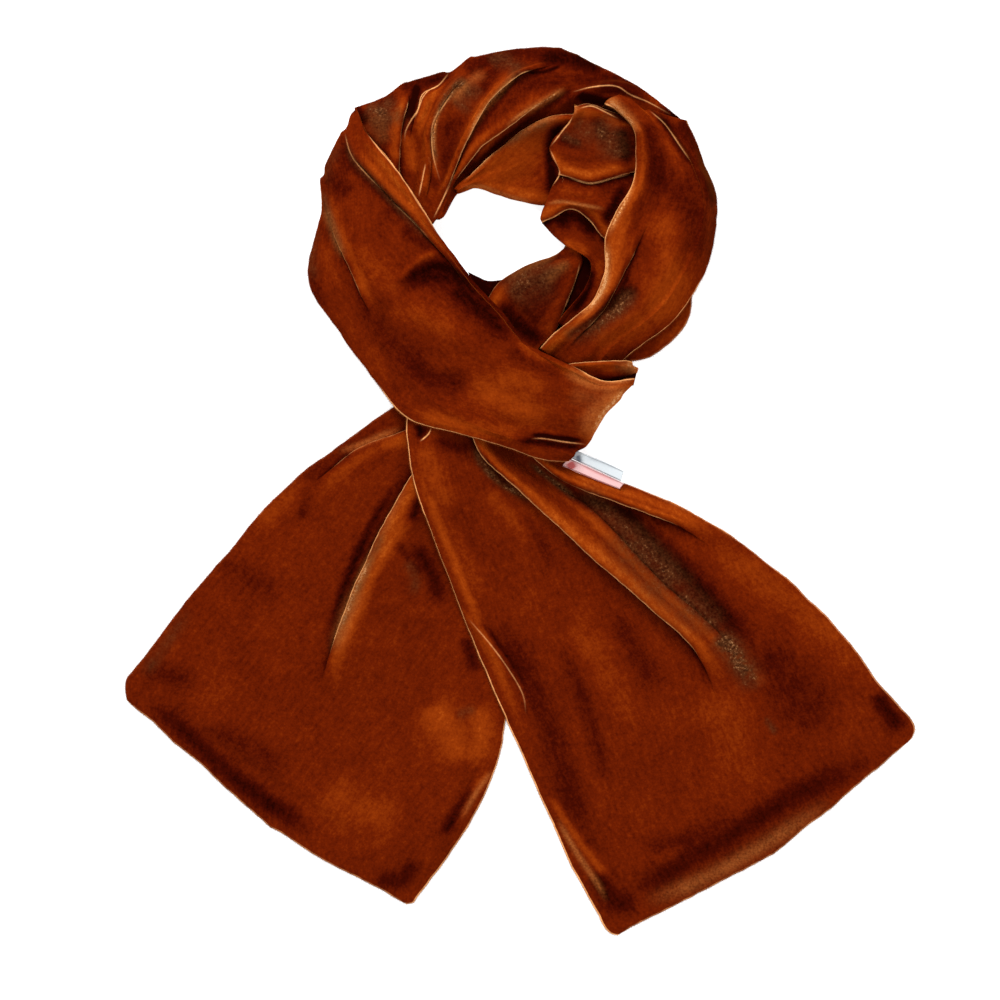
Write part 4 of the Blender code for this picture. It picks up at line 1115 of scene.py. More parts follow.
# %% Creases on the right of the ring
CREASES["ring_lobe"] = (
    (-2.2, 3.5, 0.4, (628, 258), (625, 280), (612, 302), (590, 322), (562, 341)),
    (1.8, 5, 0.5, (646, 112), (662, 127), (676, 148), (690, 170)),
    (-1.8, 5, 0, (655, 110), (672, 130), (686, 150), (698, 172)),
    (-1.4, 8, 0, (640, 150), (655, 185), (660, 225)),
    (1.4, 10, 0, (660, 200), (676, 240), (668, 290)),
    (-2, 7, 0.4, (604, 318), (622, 300), (640, 296)),
    (1.4, 5, 0, (616, 120), (624, 138), (622, 162)),
    (1.2, 8, 0, (590, 338), (625, 325), (660, 308)),
    (-1.3, 6, 0, (640, 340), (662, 322), (686, 290)),
)

# %% Creases on the panel below the hole
CREASES["ring_under"] = (
    (1.6, 5, 0.3, (530, 282), (552, 268), (578, 260)),
    (-1.6, 5, 0, (536, 270), (556, 260), (580, 252)),
    (-1.2, 8, 0, (505, 300), (525, 318), (545, 335)),
)

# %% Creases on the roll
CREASES["loop_return"] = (
    (1, 3, 0, (590, 366), (610, 364), (632, 368)),
)

# %% Marks
MARKS = {}

# %% Marks on the left tail
MARKS["tail_left"] = {
    "shade": (
        (0.8, 5, (405, 475), (380, 510), (360, 550), (345, 585), (335, 615), (318, 655)),
        (0.35, 12, (400, 440), (350, 455), (310, 480), (300, 510)),
        (0.4, 8, (304, 480), (306, 500), (300, 525)),
        (0.35, 14, (215, 560), (245, 575), (285, 600)),
        (0.75, 10, (138, 698), (175, 722), (205, 752), (243, 784), (288, 815), (330, 845)),
        (0.3, 13, (200, 725), (245, 745), (300, 780)),
        (0.65, 11, (370, 880), (400, 878), (422, 855)),
        (0.8, 6, (440, 840), (455, 815), (480, 780)),
        (0.7, 8, (408, 543), (426, 563), (437, 588), (440, 612)),
        (0.5, 4, (396, 540), (410, 560), (430, 580)),
        (0.8, 5, (418, 495), (416, 510), (410, 525)),
        (0.6, 6, (464, 634), (470, 653), (475, 676)),
        (0.4, 12, (140, 670), (170, 675), (200, 680)),
    ),
    "warm": (
        (1, 7, (412, 505), (398, 530), (376, 565), (361, 600), (347, 635), (333, 672)),
        (0.45, 10, (250, 530), (285, 500), (320, 470)),
        (0.85, 20, (425, 700), (450, 735), (465, 770)),
        (0.8, 14, (480, 700), (480, 740), (470, 770)),
        (0.45, 22, (320, 780), (365, 810), (410, 820)),
        (0.9, 4, (404, 428), (375, 440), (340, 455)),
        (0.7, 4, (494, 765), (480, 782), (468, 803), (458, 825)),
    ),
    "brushed": (
        (1.3, 3.5, (376, 548), (364, 572), (352, 600), (342, 624), (332, 652)),
        (0.6, 6, (360, 585), (346, 618), (333, 655)),
        (0.3, 3, (413, 480), (396, 507), (378, 545), (364, 577), (350, 608), (334, 650)),
        (0.5, 3, (404, 428), (384, 435), (357, 446), (335, 453)),
        (0.5, 2.5, (495, 768), (482, 784), (470, 803), (460, 822)),
    ),
    "crushed": (
        (0.5, 5, (392, 515), (374, 552), (357, 590), (342, 625), (330, 662)),
        (0.4, 5, (455, 717), (466, 712), (478, 708)),
        (0.35, 6, (140, 680), (165, 645), (195, 605)),
        (0.35, 5, (405, 558), (415, 580), (412, 600)),
    ),
}

# %% Marks on the right tail
MARKS["tail_right"] = {
    "dull": (
        (1, 6, (530, 466), (590, 508), (660, 580), (720, 636), (757, 682)),
    ),
    "shade": (
        (0.3, 20, (640, 900), (720, 860), (800, 800), (880, 740)),
        (0.9, 12, (620, 512), (652, 540), (684, 572), (712, 602), (738, 632), (760, 662)),
        (1, 8, (540, 468), (575, 497), (625, 512), (650, 540), (680, 570), (710, 600), (735, 627),
         (760, 660)),
        (0.8, 10, (600, 500), (630, 520), (665, 560), (700, 595)),
        (0.8, 3.5, (476, 443), (493, 470), (523, 497), (548, 515)),
        (0.75, 13, (598, 866), (612, 898), (645, 902)),
        (0.66, 14, (605, 885), (650, 882), (700, 853), (750, 823), (800, 792), (850, 770), (895, 740)),
        (0.4, 12, (630, 850), (700, 836), (765, 805)),
        (0.8, 9, (872, 690), (895, 722), (905, 735)),
        (0.4, 26, (750, 640), (790, 690), (850, 730)),
        (0.5, 14, (490, 610), (535, 690), (560, 760), (580, 820), (600, 870)),
        (0.4, 12, (610, 610), (635, 650), (660, 700)),
        (0.35, 9, (515, 510), (535, 535), (560, 575)),
        (0.3, 9, (447, 500), (465, 530), (482, 570)),
        (0.5, 7, (434, 436), (452, 446), (476, 452)),
        (1, 5, (417, 424), (421, 431), (418, 440)),
        (0.5, 5, (515, 660), (532, 700), (546, 740)),
        (0.35, 8, (560, 640), (590, 720), (610, 800)),
        (0.8, 3, (474, 613), (498, 643), (516, 669), (530, 695), (533, 716)),
    ),
    "warm": (
        (0.35, 12, (440, 480), (460, 540), (490, 620)),
        (0.9, 5, (414, 455), (424, 485), (452, 555), (482, 630), (512, 702), (528, 745)),
        (0.55, 13, (418, 440), (432, 470), (455, 520)),
        (0.5, 8, (480, 485), (505, 510), (535, 545)),
        (1, 9, (490, 455), (510, 480), (552, 517), (602, 557), (652, 602), (692, 637), (720, 668)),
        (0.9, 6, (545, 462), (590, 482), (630, 494), (680, 514), (730, 542)),
        (0.5, 16, (690, 530), (770, 585), (850, 650), (880, 690)),
        (0.9, 6, (730, 645), (745, 665), (768, 688)),
        (0.35, 22, (705, 680), (730, 740), (745, 800)),
        (0.9, 4, (545, 790), (565, 820), (590, 855), (620, 890)),
        (0.7, 5, (462, 605), (474, 626), (490, 652), (506, 680)),
        (0.35, 12, (560, 600), (600, 660), (640, 740)),
    ),
    "brushed": (
        (0.8, 1.6, (640, 488), (675, 504), (710, 522), (745, 546)),
        (0.45, 7, (640, 905), (690, 885), (730, 865), (780, 835), (840, 795)),
        (0.7, 2.5, (555, 815), (575, 850), (600, 888), (608, 905)),
    ),
    "crushed": (
        (0.4, 16, (600, 524), (630, 558), (660, 590), (690, 618), (715, 645)),
        (0.55, 9, (578, 484), (602, 508), (628, 533), (650, 556)),
        (0.75, 13, (612, 520), (642, 550), (668, 576), (694, 602)),
        (0.7, 12, (672, 585), (700, 612), (722, 636)),
        (1.2, 10, (712, 632), (732, 652), (746, 672), (756, 694)),
        (0.95, 3.5, (472, 441), (480, 461), (497, 480), (515, 492), (534, 506)),
        (0.9, 3, (526, 460), (542, 473), (560, 486), (580, 503)),
        (0.45, 3, (764, 716), (771, 726), (777, 736)),
    ),
    "bright": (
        (0.45, 0.8, (467, 617), (491, 645), (509, 670), (523, 695), (526, 716)),
        (0.9, 1, (431.5, 428), (429, 434), (420, 442)),
    ),
}

# %% Marks on the band
MARKS["front_band"] = {
    "shade": (
        (0.35, 14, (330, 210), (340, 250), (350, 290)),
        (0.9, 9, (410, 287), (432, 278), (456, 282), (480, 300)),
        (1.5, 2.5, (526, 436), (543, 436), (562, 439), (590, 442)),
        (1, 8, (575, 452), (580, 456), (574, 462)),
        (0.6, 22, (415, 285), (450, 275), (490, 310), (520, 345)),
        (0.35, 30, (350, 290), (390, 340), (450, 370)),
        (1, 11, (398, 292), (420, 275), (445, 270), (470, 285), (492, 308)),
        (0.9, 12, (440, 285), (465, 298), (490, 318), (520, 345)),
        (0.9, 8, (448, 260), (470, 287), (492, 310), (514, 335), (540, 356)),
        (0.5, 10, (505, 345), (535, 360), (570, 372)),
        (0.5, 12, (322, 175), (336, 185), (352, 200)),
        (0.4, 9, (334, 150), (345, 160), (352, 180)),
        (0.5, 9, (400, 225), (418, 240), (435, 260)),
        (0.5, 12, (385, 340), (410, 362), (440, 382), (485, 380)),
        (0.35, 6, (312, 265), (316, 290), (326, 312)),
        (1, 4, (512, 440), (537, 442), (562, 446), (592, 447)),
        (0.7, 5, (340, 128), (352, 165), (372, 185), (398, 212), (425, 240)),
        (0.35, 8, (330, 140), (326, 170), (322, 200)),
    ),
    "warm": (
        (0.8, 4, (398, 284), (412, 268), (428, 258), (446, 252)),
        (0.4, 16, (350, 240), (375, 275), (410, 305)),
        (0.5, 14, (380, 305), (415, 318), (465, 335)),
        (0.6, 16, (455, 385), (500, 398), (555, 425)),
        (0.6, 12, (490, 378), (520, 382), (550, 390)),
        (0.7, 8, (405, 408), (445, 422), (490, 432), (530, 432)),
        (0.5, 8, (322, 235), (330, 262), (340, 292)),
        (0.4, 10, (340, 300), (370, 350), (400, 390)),
        (0.9, 12, (630, 386), (614, 402), (602, 418), (592, 436), (570, 440)),
        (0.6, 8, (560, 366), (590, 382), (626, 390)),
    ),
    "brushed": (
        (1.2, 2, (634, 383), (620, 400), (606, 416), (598, 432), (589, 446)),
        (1, 2, (575, 369), (596, 380), (634, 383)),
        (1.2, 5, (629, 385), (615, 400), (602, 415), (595, 430), (586, 443)),
        (0.5, 10, (622, 386), (610, 398), (596, 414), (588, 430), (578, 440)),
        (0.6, 5, (562, 370), (588, 384), (610, 389), (630, 386)),
        (0.14, 12, (566, 392), (590, 398), (612, 402)),
        (0.6, 4, (324, 205), (333, 228), (340, 248), (348, 262)),
    ),
    "crushed": (
        (0.5, 4, (322, 185), (326, 205), (335, 235), (345, 262)),
        (0.4, 4, (345, 133), (352, 157), (368, 177), (384, 193), (400, 211), (420, 232), (440, 252)),
        (0.45, 6, (315, 225), (311, 255), (315, 285)),
        (0.25, 6, (340, 140), (330, 165), (327, 190)),
    ),
    "bright": (
        (0.8, 1, (363, 128), (380, 152), (401, 177), (419, 206), (432, 224)),
        (0.4, 0.8, (345, 133), (352, 157), (368, 177), (384, 193)),
        (0.2, 0.8, (392, 203), (412, 222), (432, 243)),
        (0.45, 0.8, (530, 439), (543, 439), (562, 442), (588, 445)),
    ),
    "dull": (
        (0.22, 4, (345, 133), (352, 157), (368, 177), (384, 193), (400, 211), (420, 232), (440, 252)),
        (0.8, 5, (322, 200), (311, 240), (309, 280), (322, 308), (350, 345), (378, 384), (398, 404)),
        (1, 9, (430, 220), (444, 236), (460, 262), (480, 293), (505, 319), (526, 344), (549, 353),
         (569, 365), (590, 376)),
    ),
}

# %% Marks on the top of the ring
MARKS["ring_top"] = {
    "shade": (
        (0.45, 12, (372, 112), (384, 130), (394, 160)),
        (0.5, 10, (500, 62), (488, 84), (474, 106)),
        (1.4, 5, (572, 98), (588, 100), (604, 103), (622, 110)),
        (0.45, 22, (470, 80), (500, 75), (540, 90), (600, 90)),
        (0.4, 16, (455, 110), (450, 150), (445, 185)),
        (0.55, 12, (540, 92), (520, 110), (500, 128), (480, 150)),
        (1, 7, (352, 108), (362, 118), (370, 128)),
        (1.5, 5, (418, 80), (415, 98), (410, 116), (407, 128)),
        (0.8, 5, (420, 84), (435, 81), (450, 77)),
        (0.6, 7, (405, 82), (430, 74), (460, 72)),
        (0.6, 9, (462, 75), (482, 64), (510, 54)),
        (0.5, 5, (458, 78), (464, 88), (474, 100)),
        (1, 11, (530, 56), (560, 58), (585, 64), (612, 78)),
        (0.85, 4.5, (526, 70), (508, 90), (492, 110), (478, 132), (470, 150)),
        (1, 5, (585, 84), (560, 97), (535, 113), (510, 132), (485, 157), (470, 172)),
        (0.6, 9, (590, 76), (620, 84), (655, 98)),
        (1, 10, (655, 108), (680, 120), (695, 145), (702, 175)),
        (0.5, 3, (446, 118), (448, 135), (447, 152)),
        (0.7, 4, (358, 128), (378, 148), (398, 168), (412, 188)),
        (0.4, 5, (498, 100), (485, 125), (470, 150)),
        (1, 2.5, (519, 72), (534, 75), (552, 71), (567, 62)),
        (0.6, 9, (395, 88), (430, 80), (462, 76)),
        (0.5, 12, (486, 62), (520, 52), (560, 56)),
        (0.45, 10, (372, 108), (385, 104), (402, 98)),
        (0.5, 9, (560, 78), (600, 84), (640, 98)),
    ),
    "warm": (
        (1, 6, (518, 58), (502, 84), (486, 106), (470, 132), (459, 160), (448, 188)),
        (1, 6, (468, 166), (500, 137), (527, 115), (552, 98), (580, 82)),
        (0.9, 7, (404, 132), (408, 152), (416, 180)),
        (0.9, 5, (431, 138), (433, 155), (437, 185)),
        (0.6, 5, (425, 170), (428, 190), (436, 202)),
        (0.5, 6, (455, 88), (448, 108), (440, 130)),
    ),
    "brushed": (
        (0.7, 6, (469, 82), (459, 93), (451, 106)),
        (1.2, 1.6, (519, 75), (500, 94), (487, 109), (476, 124), (466, 148)),
        (1.1, 1.6, (566, 88), (545, 103), (520, 118), (503, 131)),
        (1.3, 1.8, (468, 80), (455, 92), (443, 107), (436, 122), (434, 145), (437, 175)),
        (0.3, 5, (488, 72), (470, 84), (456, 96), (448, 110)),
        (0.25, 8, (366, 115), (378, 120), (386, 150)),
        (0.5, 3, (520, 70), (498, 97), (484, 112), (472, 135)),
        (0.6, 3, (566, 90), (545, 103), (520, 118)),
    ),
    "crushed": (
        (0.5, 7, (500, 62), (516, 70), (508, 82)),
        (0.5, 9, (478, 84), (468, 98), (456, 110)),
        (0.8, 4, (466, 78), (452, 92), (444, 104), (436, 122)),
        (0.55, 14, (372, 112), (384, 120), (396, 128)),
        (0.8, 7, (364, 108), (375, 112), (392, 118)),
        (0.5, 8, (382, 98), (395, 112), (400, 132)),
        (0.85, 4, (470, 78), (455, 92), (442, 108), (436, 124)),
        (0.6, 5, (452, 100), (462, 108), (474, 116)),
        (0.8, 2.5, (434, 128), (433, 145), (438, 168)),
        (0.5, 8, (488, 66), (500, 60), (514, 70)),
    ),
    "bright": (
        (0.9, 1, (457, 169), (450, 186), (441, 205), (433, 221)),
        (0.8, 1, (450, 72), (438, 87), (423, 95), (418, 112), (412, 121), (406, 133), (405, 145)),
        (0.5, 0.9, (456, 92), (444, 108), (434, 124), (432, 140), (434, 160), (441, 185)),
        (0.9, 0.9, (426, 165), (424, 175), (419, 199)),
        (0.8, 0.9, (571, 94), (592, 89), (616, 88), (630, 96), (648, 103), (672, 116)),
    ),
    "dull": (
        (1, 4, (410, 190), (412, 160), (411, 135), (414, 112)),
        (0.14, 5, (402, 185), (401, 150), (402, 120), (406, 100)),
    ),
}

# %% Marks on the panel above the hole
MARKS["ring_inner"] = {
    "bright": (
        (0.8, 1.3, (463, 184), (482, 165), (499, 149), (511, 139), (530, 126), (556, 116)),
    ),
    "shade": (
        (1.4, 6, (566, 120), (554, 136), (549, 155), (552, 180), (546, 205)),
        (0.35, 5, (536, 150), (540, 165), (535, 180)),
    ),
    "warm": (
        (0.75, 26, (440, 205), (490, 175), (530, 155), (580, 140)),
    ),
    "brushed": (
        (1.2, 1.8, (466, 181), (483, 164), (499, 149), (511, 139)),
        (0.9, 4, (500, 149), (520, 134), (545, 122), (566, 115)),
        (0.7, 3, (470, 168), (500, 148), (530, 130), (560, 117)),
        (0.6, 2, (458, 190), (480, 188), (505, 196), (540, 205)),
    ),
    "crushed": (
        (0.5, 5, (500, 150), (525, 135), (560, 120)),
    ),
}

# %% Marks on the crumpled stretch
MARKS["ring_crumple"] = {
    "dull": (
        (0.13, 8, (559, 178), (590, 185), (632, 173)),
    ),
    "shade": (
        (1.2, 4, (592, 264), (590, 285), (580, 303), (568, 320)),
        (0.9, 5, (570, 108), (563, 122), (552, 138)),
        (1, 5, (580, 104), (598, 107), (618, 116), (630, 128)),
        (1, 9, (618, 125), (625, 150), (628, 178)),
        (0.6, 6, (556, 138), (568, 144), (585, 146)),
        (0.6, 5, (560, 182), (585, 186), (610, 182), (632, 172)),
        (1, 6, (600, 232), (612, 210), (628, 180)),
        (1, 9, (552, 232), (562, 222), (575, 216), (590, 228), (600, 245)),
        (0.8, 4, (588, 262), (587, 275), (582, 288)),
        (0.5, 8, (590, 120), (600, 130), (605, 145)),
    ),
    "warm": (
        (1, 4, (548, 148), (554, 160), (568, 172), (592, 176)),
        (0.5, 8, (555, 190), (580, 193), (605, 195)),
        (0.8, 4, (548, 206), (570, 209), (595, 212)),
        (0.7, 6, (560, 240), (575, 248), (592, 256)),
        (0.5, 5, (600, 255), (597, 275), (585, 300)),
    ),
    "brushed": (
        (0.9, 1.6, (545, 205), (560, 203), (577, 206), (606, 211)),
        (0.9, 3, (578, 106), (570, 118), (560, 132)),
    ),
    "crushed": (
        (0.7, 11, (596, 124), (606, 140), (612, 158)),
        (0.4, 14, (570, 128), (584, 134), (600, 140)),
        (0.6, 13, (596, 116), (606, 130), (612, 150), (614, 168)),
        (0.6, 4, (560, 135), (572, 142), (585, 148)),
        (0.3, 2, (546, 206), (565, 203), (585, 207), (606, 211)),
        (0.7, 4, (545, 245), (555, 252), (565, 258)),
    ),
    "bright": (
        (0.6, 1, (577, 112), (590, 109), (603, 114), (620, 122)),
        (0.8, 0.9, (567, 178.5), (590, 185), (615, 179), (632, 175)),
        (0.8, 0.9, (572, 107), (570, 123), (563, 132), (549, 150)),
        (0.8, 0.9, (549, 150), (556.5, 167), (559, 176), (549, 190)),
    ),
}

# %% Marks on the right of the ring
MARKS["ring_lobe"] = {
    "shade": (
        (0.8, 10, (696, 140), (706, 165), (712, 195), (714, 220)),
        (1.3, 3, (616, 290), (606, 306), (592, 320)),
        (0.6, 12, (676, 120), (690, 140), (700, 160)),
        (0.9, 3.5, (628, 258), (625, 280), (612, 302), (590, 322), (562, 341)),
        (0.45, 26, (650, 150), (680, 190), (690, 240), (670, 290)),
        (0.3, 30, (640, 190), (650, 230), (630, 280)),
        (0.6, 14, (636, 120), (655, 160), (662, 215)),
        (0.5, 14, (680, 150), (692, 190), (694, 220)),
        (1, 6, (652, 110), (668, 132), (682, 155), (697, 178)),
        (0.5, 7, (716, 200), (712, 240), (702, 272)),
        (0.95, 9, (600, 313), (615, 302), (626, 294), (640, 302)),
        (0.4, 4, (630, 235), (625, 262), (620, 292)),
        (0.8, 6, (620, 360), (645, 348), (672, 330)),
        (0.4, 8, (690, 120), (700, 140), (706, 170)),
    ),
    "warm": (
        (1, 8, (634, 145), (634, 180), (624, 217), (616, 250), (611, 280), (600, 300), (577, 322),
         (556, 336)),
        (0.8, 22, (640, 205), (668, 245), (668, 290), (632, 330)),
        (0.6, 14, (585, 340), (620, 332), (660, 318)),
        (0.5, 8, (660, 130), (676, 160), (684, 195)),
    ),
    "brushed": (
        (1.2, 5, (604, 98), (618, 112), (630, 126), (635, 140)),
        (1.3, 2.5, (634, 176), (626, 200), (613, 225), (606, 242)),
        (1.5, 3.5, (605, 240), (606, 262), (604, 284), (594, 303), (574, 322)),
    ),
    "crushed": (
        (0.3, 5, (603, 98), (616, 110), (630, 122), (634, 135)),
        (0.75, 8, (638, 288), (624, 303), (606, 320), (586, 333), (566, 343)),
        (0.5, 6, (560, 338), (585, 328), (610, 315)),
    ),
    "bright": (
        (0.5, 0.9, (648, 112), (664, 126), (677.5, 146), (690, 164)),
        (0.6, 1, (614, 122), (622, 140), (618, 165)),
    ),
    "dull": (
        (0.12, 5, (604, 106), (633, 134), (634, 160), (630, 190)),
        (0.95, 6, (690, 120), (705, 160), (716, 205), (716, 240), (706, 272), (698, 290)),
    ),
}

# %% Marks on the panel below the hole
MARKS["ring_under"] = {
    "bright": (
        (1, 1, (580, 262), (575, 283), (566, 305), (553, 342)),
    ),
    "shade": (
        (0.5, 14, (520, 330), (540, 318), (556, 300)),
        (0.5, 26, (510, 310), (545, 300), (570, 270)),
        (0.6, 30, (490, 290), (530, 275), (590, 265)),
        (1, 9, (495, 298), (512, 318), (535, 336), (560, 345)),
        (0.9, 4, (530, 270), (555, 260), (580, 252)),
    ),
    "warm": (
        (0.6, 4, (535, 332), (556, 303), (577, 272)),
    ),
    "brushed": (
        (0.45, 5, (545, 285), (555, 272), (572, 262)),
        (0.5, 3, (505, 280), (523, 271), (541, 262), (560, 254)),
    ),
    "crushed": (
        (0.6, 18, (505, 300), (530, 280), (560, 272)),
        (0.6, 10, (510, 285), (540, 270), (560, 285)),
    ),
}

# %% Marks on the sliver outside the lobe
MARKS["ring_lower"] = {
    "warm": (
        (0.5, 6, (690, 300), (680, 325), (650, 350)),
    ),
}

# %% Marks on the roll
MARKS["loop_return"] = {
    "shade": (
        (0.7, 3, (590, 378), (612, 379), (636, 380)),
    ),
    "warm": (
        (0.7, 6, (575, 366), (600, 364), (630, 366)),
    ),
    "brushed": (
        (1.2, 4, (624, 364), (632, 367), (638, 371)),
        (0.8, 4, (618, 366), (630, 370), (640, 374)),
    ),
    "crushed": (
        (0.45, 6, (610, 367), (626, 368), (638, 372)),
    ),
}

# %% Marks on the white tab
MARKS["label_white"] = {
    "shade": (
        (0.9, 1.2, (571, 460), (600, 474), (622, 482)),
        (0.4, 2, (584, 456), (604, 463), (622, 470)),
        (1.2, 2.5, (577, 455), (580, 464)),
    ),
}

# %% Marks on the pink tab
MARKS["label_pink"] = {
    "shade": (
        (0.55, 1.5, (577, 463), (600, 474), (624, 484)),
        (0.8, 1.5, (571, 471), (594, 481), (618, 490)),
        (1.6, 4, (569, 462), (573, 470)),
    ),
}

# %% How many there are
print(sum(map(len, CREASES.values())), "creases and",
      sum(len(rows) for kinds in MARKS.values() for rows in kinds.values()), "marks")

# %% [markdown]
# ## Laying the stretches
# Every stretch goes through the same few steps: cut its table finely, lift it as its solid was lifted, add
# the creases, hang the lower face under it, mark its nap and its painted light and shade, and close the
# mesh. Here each stretch also says which of its four borders are real edges of the scarf, which show a
# painted highlight line, and which only go on under another stretch.

# %% The stretches
# A piece's trims say how strong a painted highlight each of its first side, last side, start and end gets as
# a real edge, and 0 for none
Piece = namedtuple("Piece", "stretch seed spacing trims")
PIECES = {
    "tail_left": Piece(TAIL_LEFT, 1, 1.9, (0.72, 0.9, 0, 0.84)),
    "tail_right": Piece(TAIL_RIGHT, 2, 1.9, (1, 0.86, 0, 0.84)),
    "ring_lower": Piece(RING_LOWER, 3, 1.3, (0.8, 0, 0, 0)),
    "ring_under": Piece(RING_UNDER, 4, 1.3, (0, 0, 0, 0)),
    "ring_top": Piece(RING_TOP, 5, 1.2, (0, 0, 0, 0.7)),
    "ring_inner": Piece(RING_INNER, 6, 1.2, (0, 0, 0, 0)),
    "ring_crumple": Piece(RING_CRUMPLE, 7, 1.2, (0, 0, 0, 0)),
    "ring_lobe": Piece(RING_LOBE, 8, 1.4, (0, 0.9, 0, 0)),
    "loop_return": Piece(LOOP_RETURN, 9, 1.1, (0, 0, 0, 1)),
    "front_band": Piece(FRONT_BAND, 10, 1.3, (1, 0, 0, 0)),
    "label_pink": Piece(LABEL_PINK_TAB, 11, 0.7, (0, 0, 0, 0)),
    "label_white": Piece(LABEL_WHITE_TAB, 12, 0.7, (0, 0, 0, 0)),
}

# %% [markdown]
# ## Folds that are drawn otherwise
# The outline of the fine cloth was compared with the photograph once more when the solids were finished.
# Where it was off by a pixel or a few, the fold's line is drawn anew here, for the fine cloth alone.

# %% Folds whose height or reach changes
RESTATED = {
    ("ring_top", "second_fold"): {"since": 0.50},
    ("tail_right", "long_fold"): {"until": 0.71},
    ("tail_right", "crushed_fold"): {"rise": 4},
}

# %% Lines that are drawn anew
# For each fold either the points of its line that move, by their number from 0, or the whole line
REDRAWN = {
    "ring_top": {
        "hidden_side": {1: (376, 189), 2: (364, 159), 3: (353, 129), 4: (354, 108)},
        "left_panel": {5: (383, 97)},
        "first_fold": {5: (408, 81)},
        "small_fold": {6: (449, 84), 7: (456, 68)},
        "crushed_ridge": {6: (463, 80), 7: (474, 57)},
        "panel": {5: (500, 66), 6: (509, 49)},
        "inner_fold": {0: (439, 221), 1: (454, 186)},
        "upper_panel": {0: (443, 217), 1: (458, 185)},
        "thin_fold": {0: (448, 210), 1: (462, 186), 2: (490, 166)},
        "hidden_end": {0: (452, 201), 1: (466, 187), 2: (500, 174)},
    },
    "ring_inner": {
        "upper_edge": {1: (480, 167), 3: (519, 134), 4: (548, 119), 5: (574, 116)},
        "hole_edge": ((457, 194), (476, 190), (498, 196), (522, 204), (545, 206), (568, 200)),
    },
    "ring_crumple": {
        "top_edge": {0: (573, 109), 1: (588, 107)},
        "brow": {0: (568, 124)},
        "lower_fold": {0: (542, 224), 1: (554, 218)},
        "neck": {0: (560, 243), 1: (575, 242)},
    },
    "ring_under": {
        "hole_edge": ((568, 245), (556, 254), (541, 260), (524, 268), (500, 281), (486, 300), (480, 316)),
        "free_edge": {0: (577, 250), 1: (582, 263), 2: (575, 284), 3: (565, 310)},
    },
    "ring_lower": {
        "outer_edge": {2: (683, 330), 3: (665, 348), 4: (647, 358), 5: (621, 363)},
    },
    "tail_right": {
        "inner_edge": ((420, 388), (407, 420), (411, 469), (432, 533), (481, 660), (530, 773), (573, 869),
                       (586, 896), (597, 914), (604, 926), (610, 932), (618, 934)),
        "side_fold": {7: (642, 921)},
        "flat_panel": {5: (695, 895)},
        "outer_edge": ((560, 440), (572, 470), (624, 484), (698, 516), (786, 579), (846, 639), (877, 680),
                       (896, 704), (906, 716), (912, 722), (914, 730), (911, 738)),
    },
    "tail_left": {
        "outer_edge": ((432, 392), (396, 405), (343, 441), (292, 482), (221, 560), (158, 638), (136, 668),
                       (127, 680), (125, 690), (127, 700)),
        "turned_side": {6: (142, 714)},
        "long_fold": {6: (272, 828)},
        "inner_panel": {4: (340, 869)},
        "curled_side": {6: (397, 899)},
        "inner_edge": ((484, 434), (512, 540), (514, 660), (505, 724), (496, 768), (471, 820), (440, 866),
                       (423, 889), (418, 897), (414, 902), (407, 904)),
    },
    "loop_return": {
        "upper_edge": ((565, 365), (587, 362), (610, 361), (624, 361), (632, 363)),
        "middle": {3: (637, 370)},
        "lower_edge": {3: (635, 377)},
    },
    "label_white": {
        "lower_side": ((571, 459), (600, 473), (621, 481)),
        "upper_side": {0: (573, 450)},
    },
    "label_pink": {
        "lower_side": {0: (562, 466)},
        "upper_side": ((566, 457), (600, 472), (624, 483)),
    },
    "front_band": {
        "outer_edge": {0: (320, 188), 5: (336, 328), 6: (369, 372), 11: (569, 462)},
        "side_fold": {0: (321, 177), 1: (326, 205), 9: (574, 455)},
        "lip_trough": {0: (325, 167), 1: (337, 199), 11: (587, 446)},
        "body": {0: (330, 157), 1: (346, 189), 8: (595, 432)},
        "dented_body": {0: (336, 145), 1: (352, 174), 7: (582, 399), 8: (607, 414)},
        "crushed_fold": {0: (342, 133), 1: (352, 156), 9: (620, 399)},
        "inner_edge": {0: (355, 111), 1: (365, 134)},
    },
}

# %% Putting a piece in its place
def add_piece(name, mesh, material, node=None):
    """A piece of the scarf, with its material and what it rides on, and with the solid that it stands for
    hidden.
    """
    mesh.materials.append(material)
    thing = bpy.data.objects.new(name, mesh)
    bpy.context.scene.collection.objects.link(thing)
    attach(thing, BODY)
    if node:
        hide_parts(node)
    return thing

# %% One stretch of cloth
START_RUNS = (0.0, 0.03, 0.08, 0.15, 0.24, 0.35, 0.48, 0.62, 0.8)   # shares of TURN_RUN that get a fine cut
EDGES = []

def redrawn(name, stretch):
    """A stretch as the fine cloth draws it."""
    folds = []
    for fold in stretch.folds:
        course = REDRAWN.get(name, {}).get(fold.name, fold.course)
        if isinstance(course, dict):
            course = [course.get(k, point) for k, point in enumerate(fold.course)]
        folds.append(fold._replace(course=course, **RESTATED.get((name, fold.name), {})))
    return full_size(stretch._replace(folds=folds))

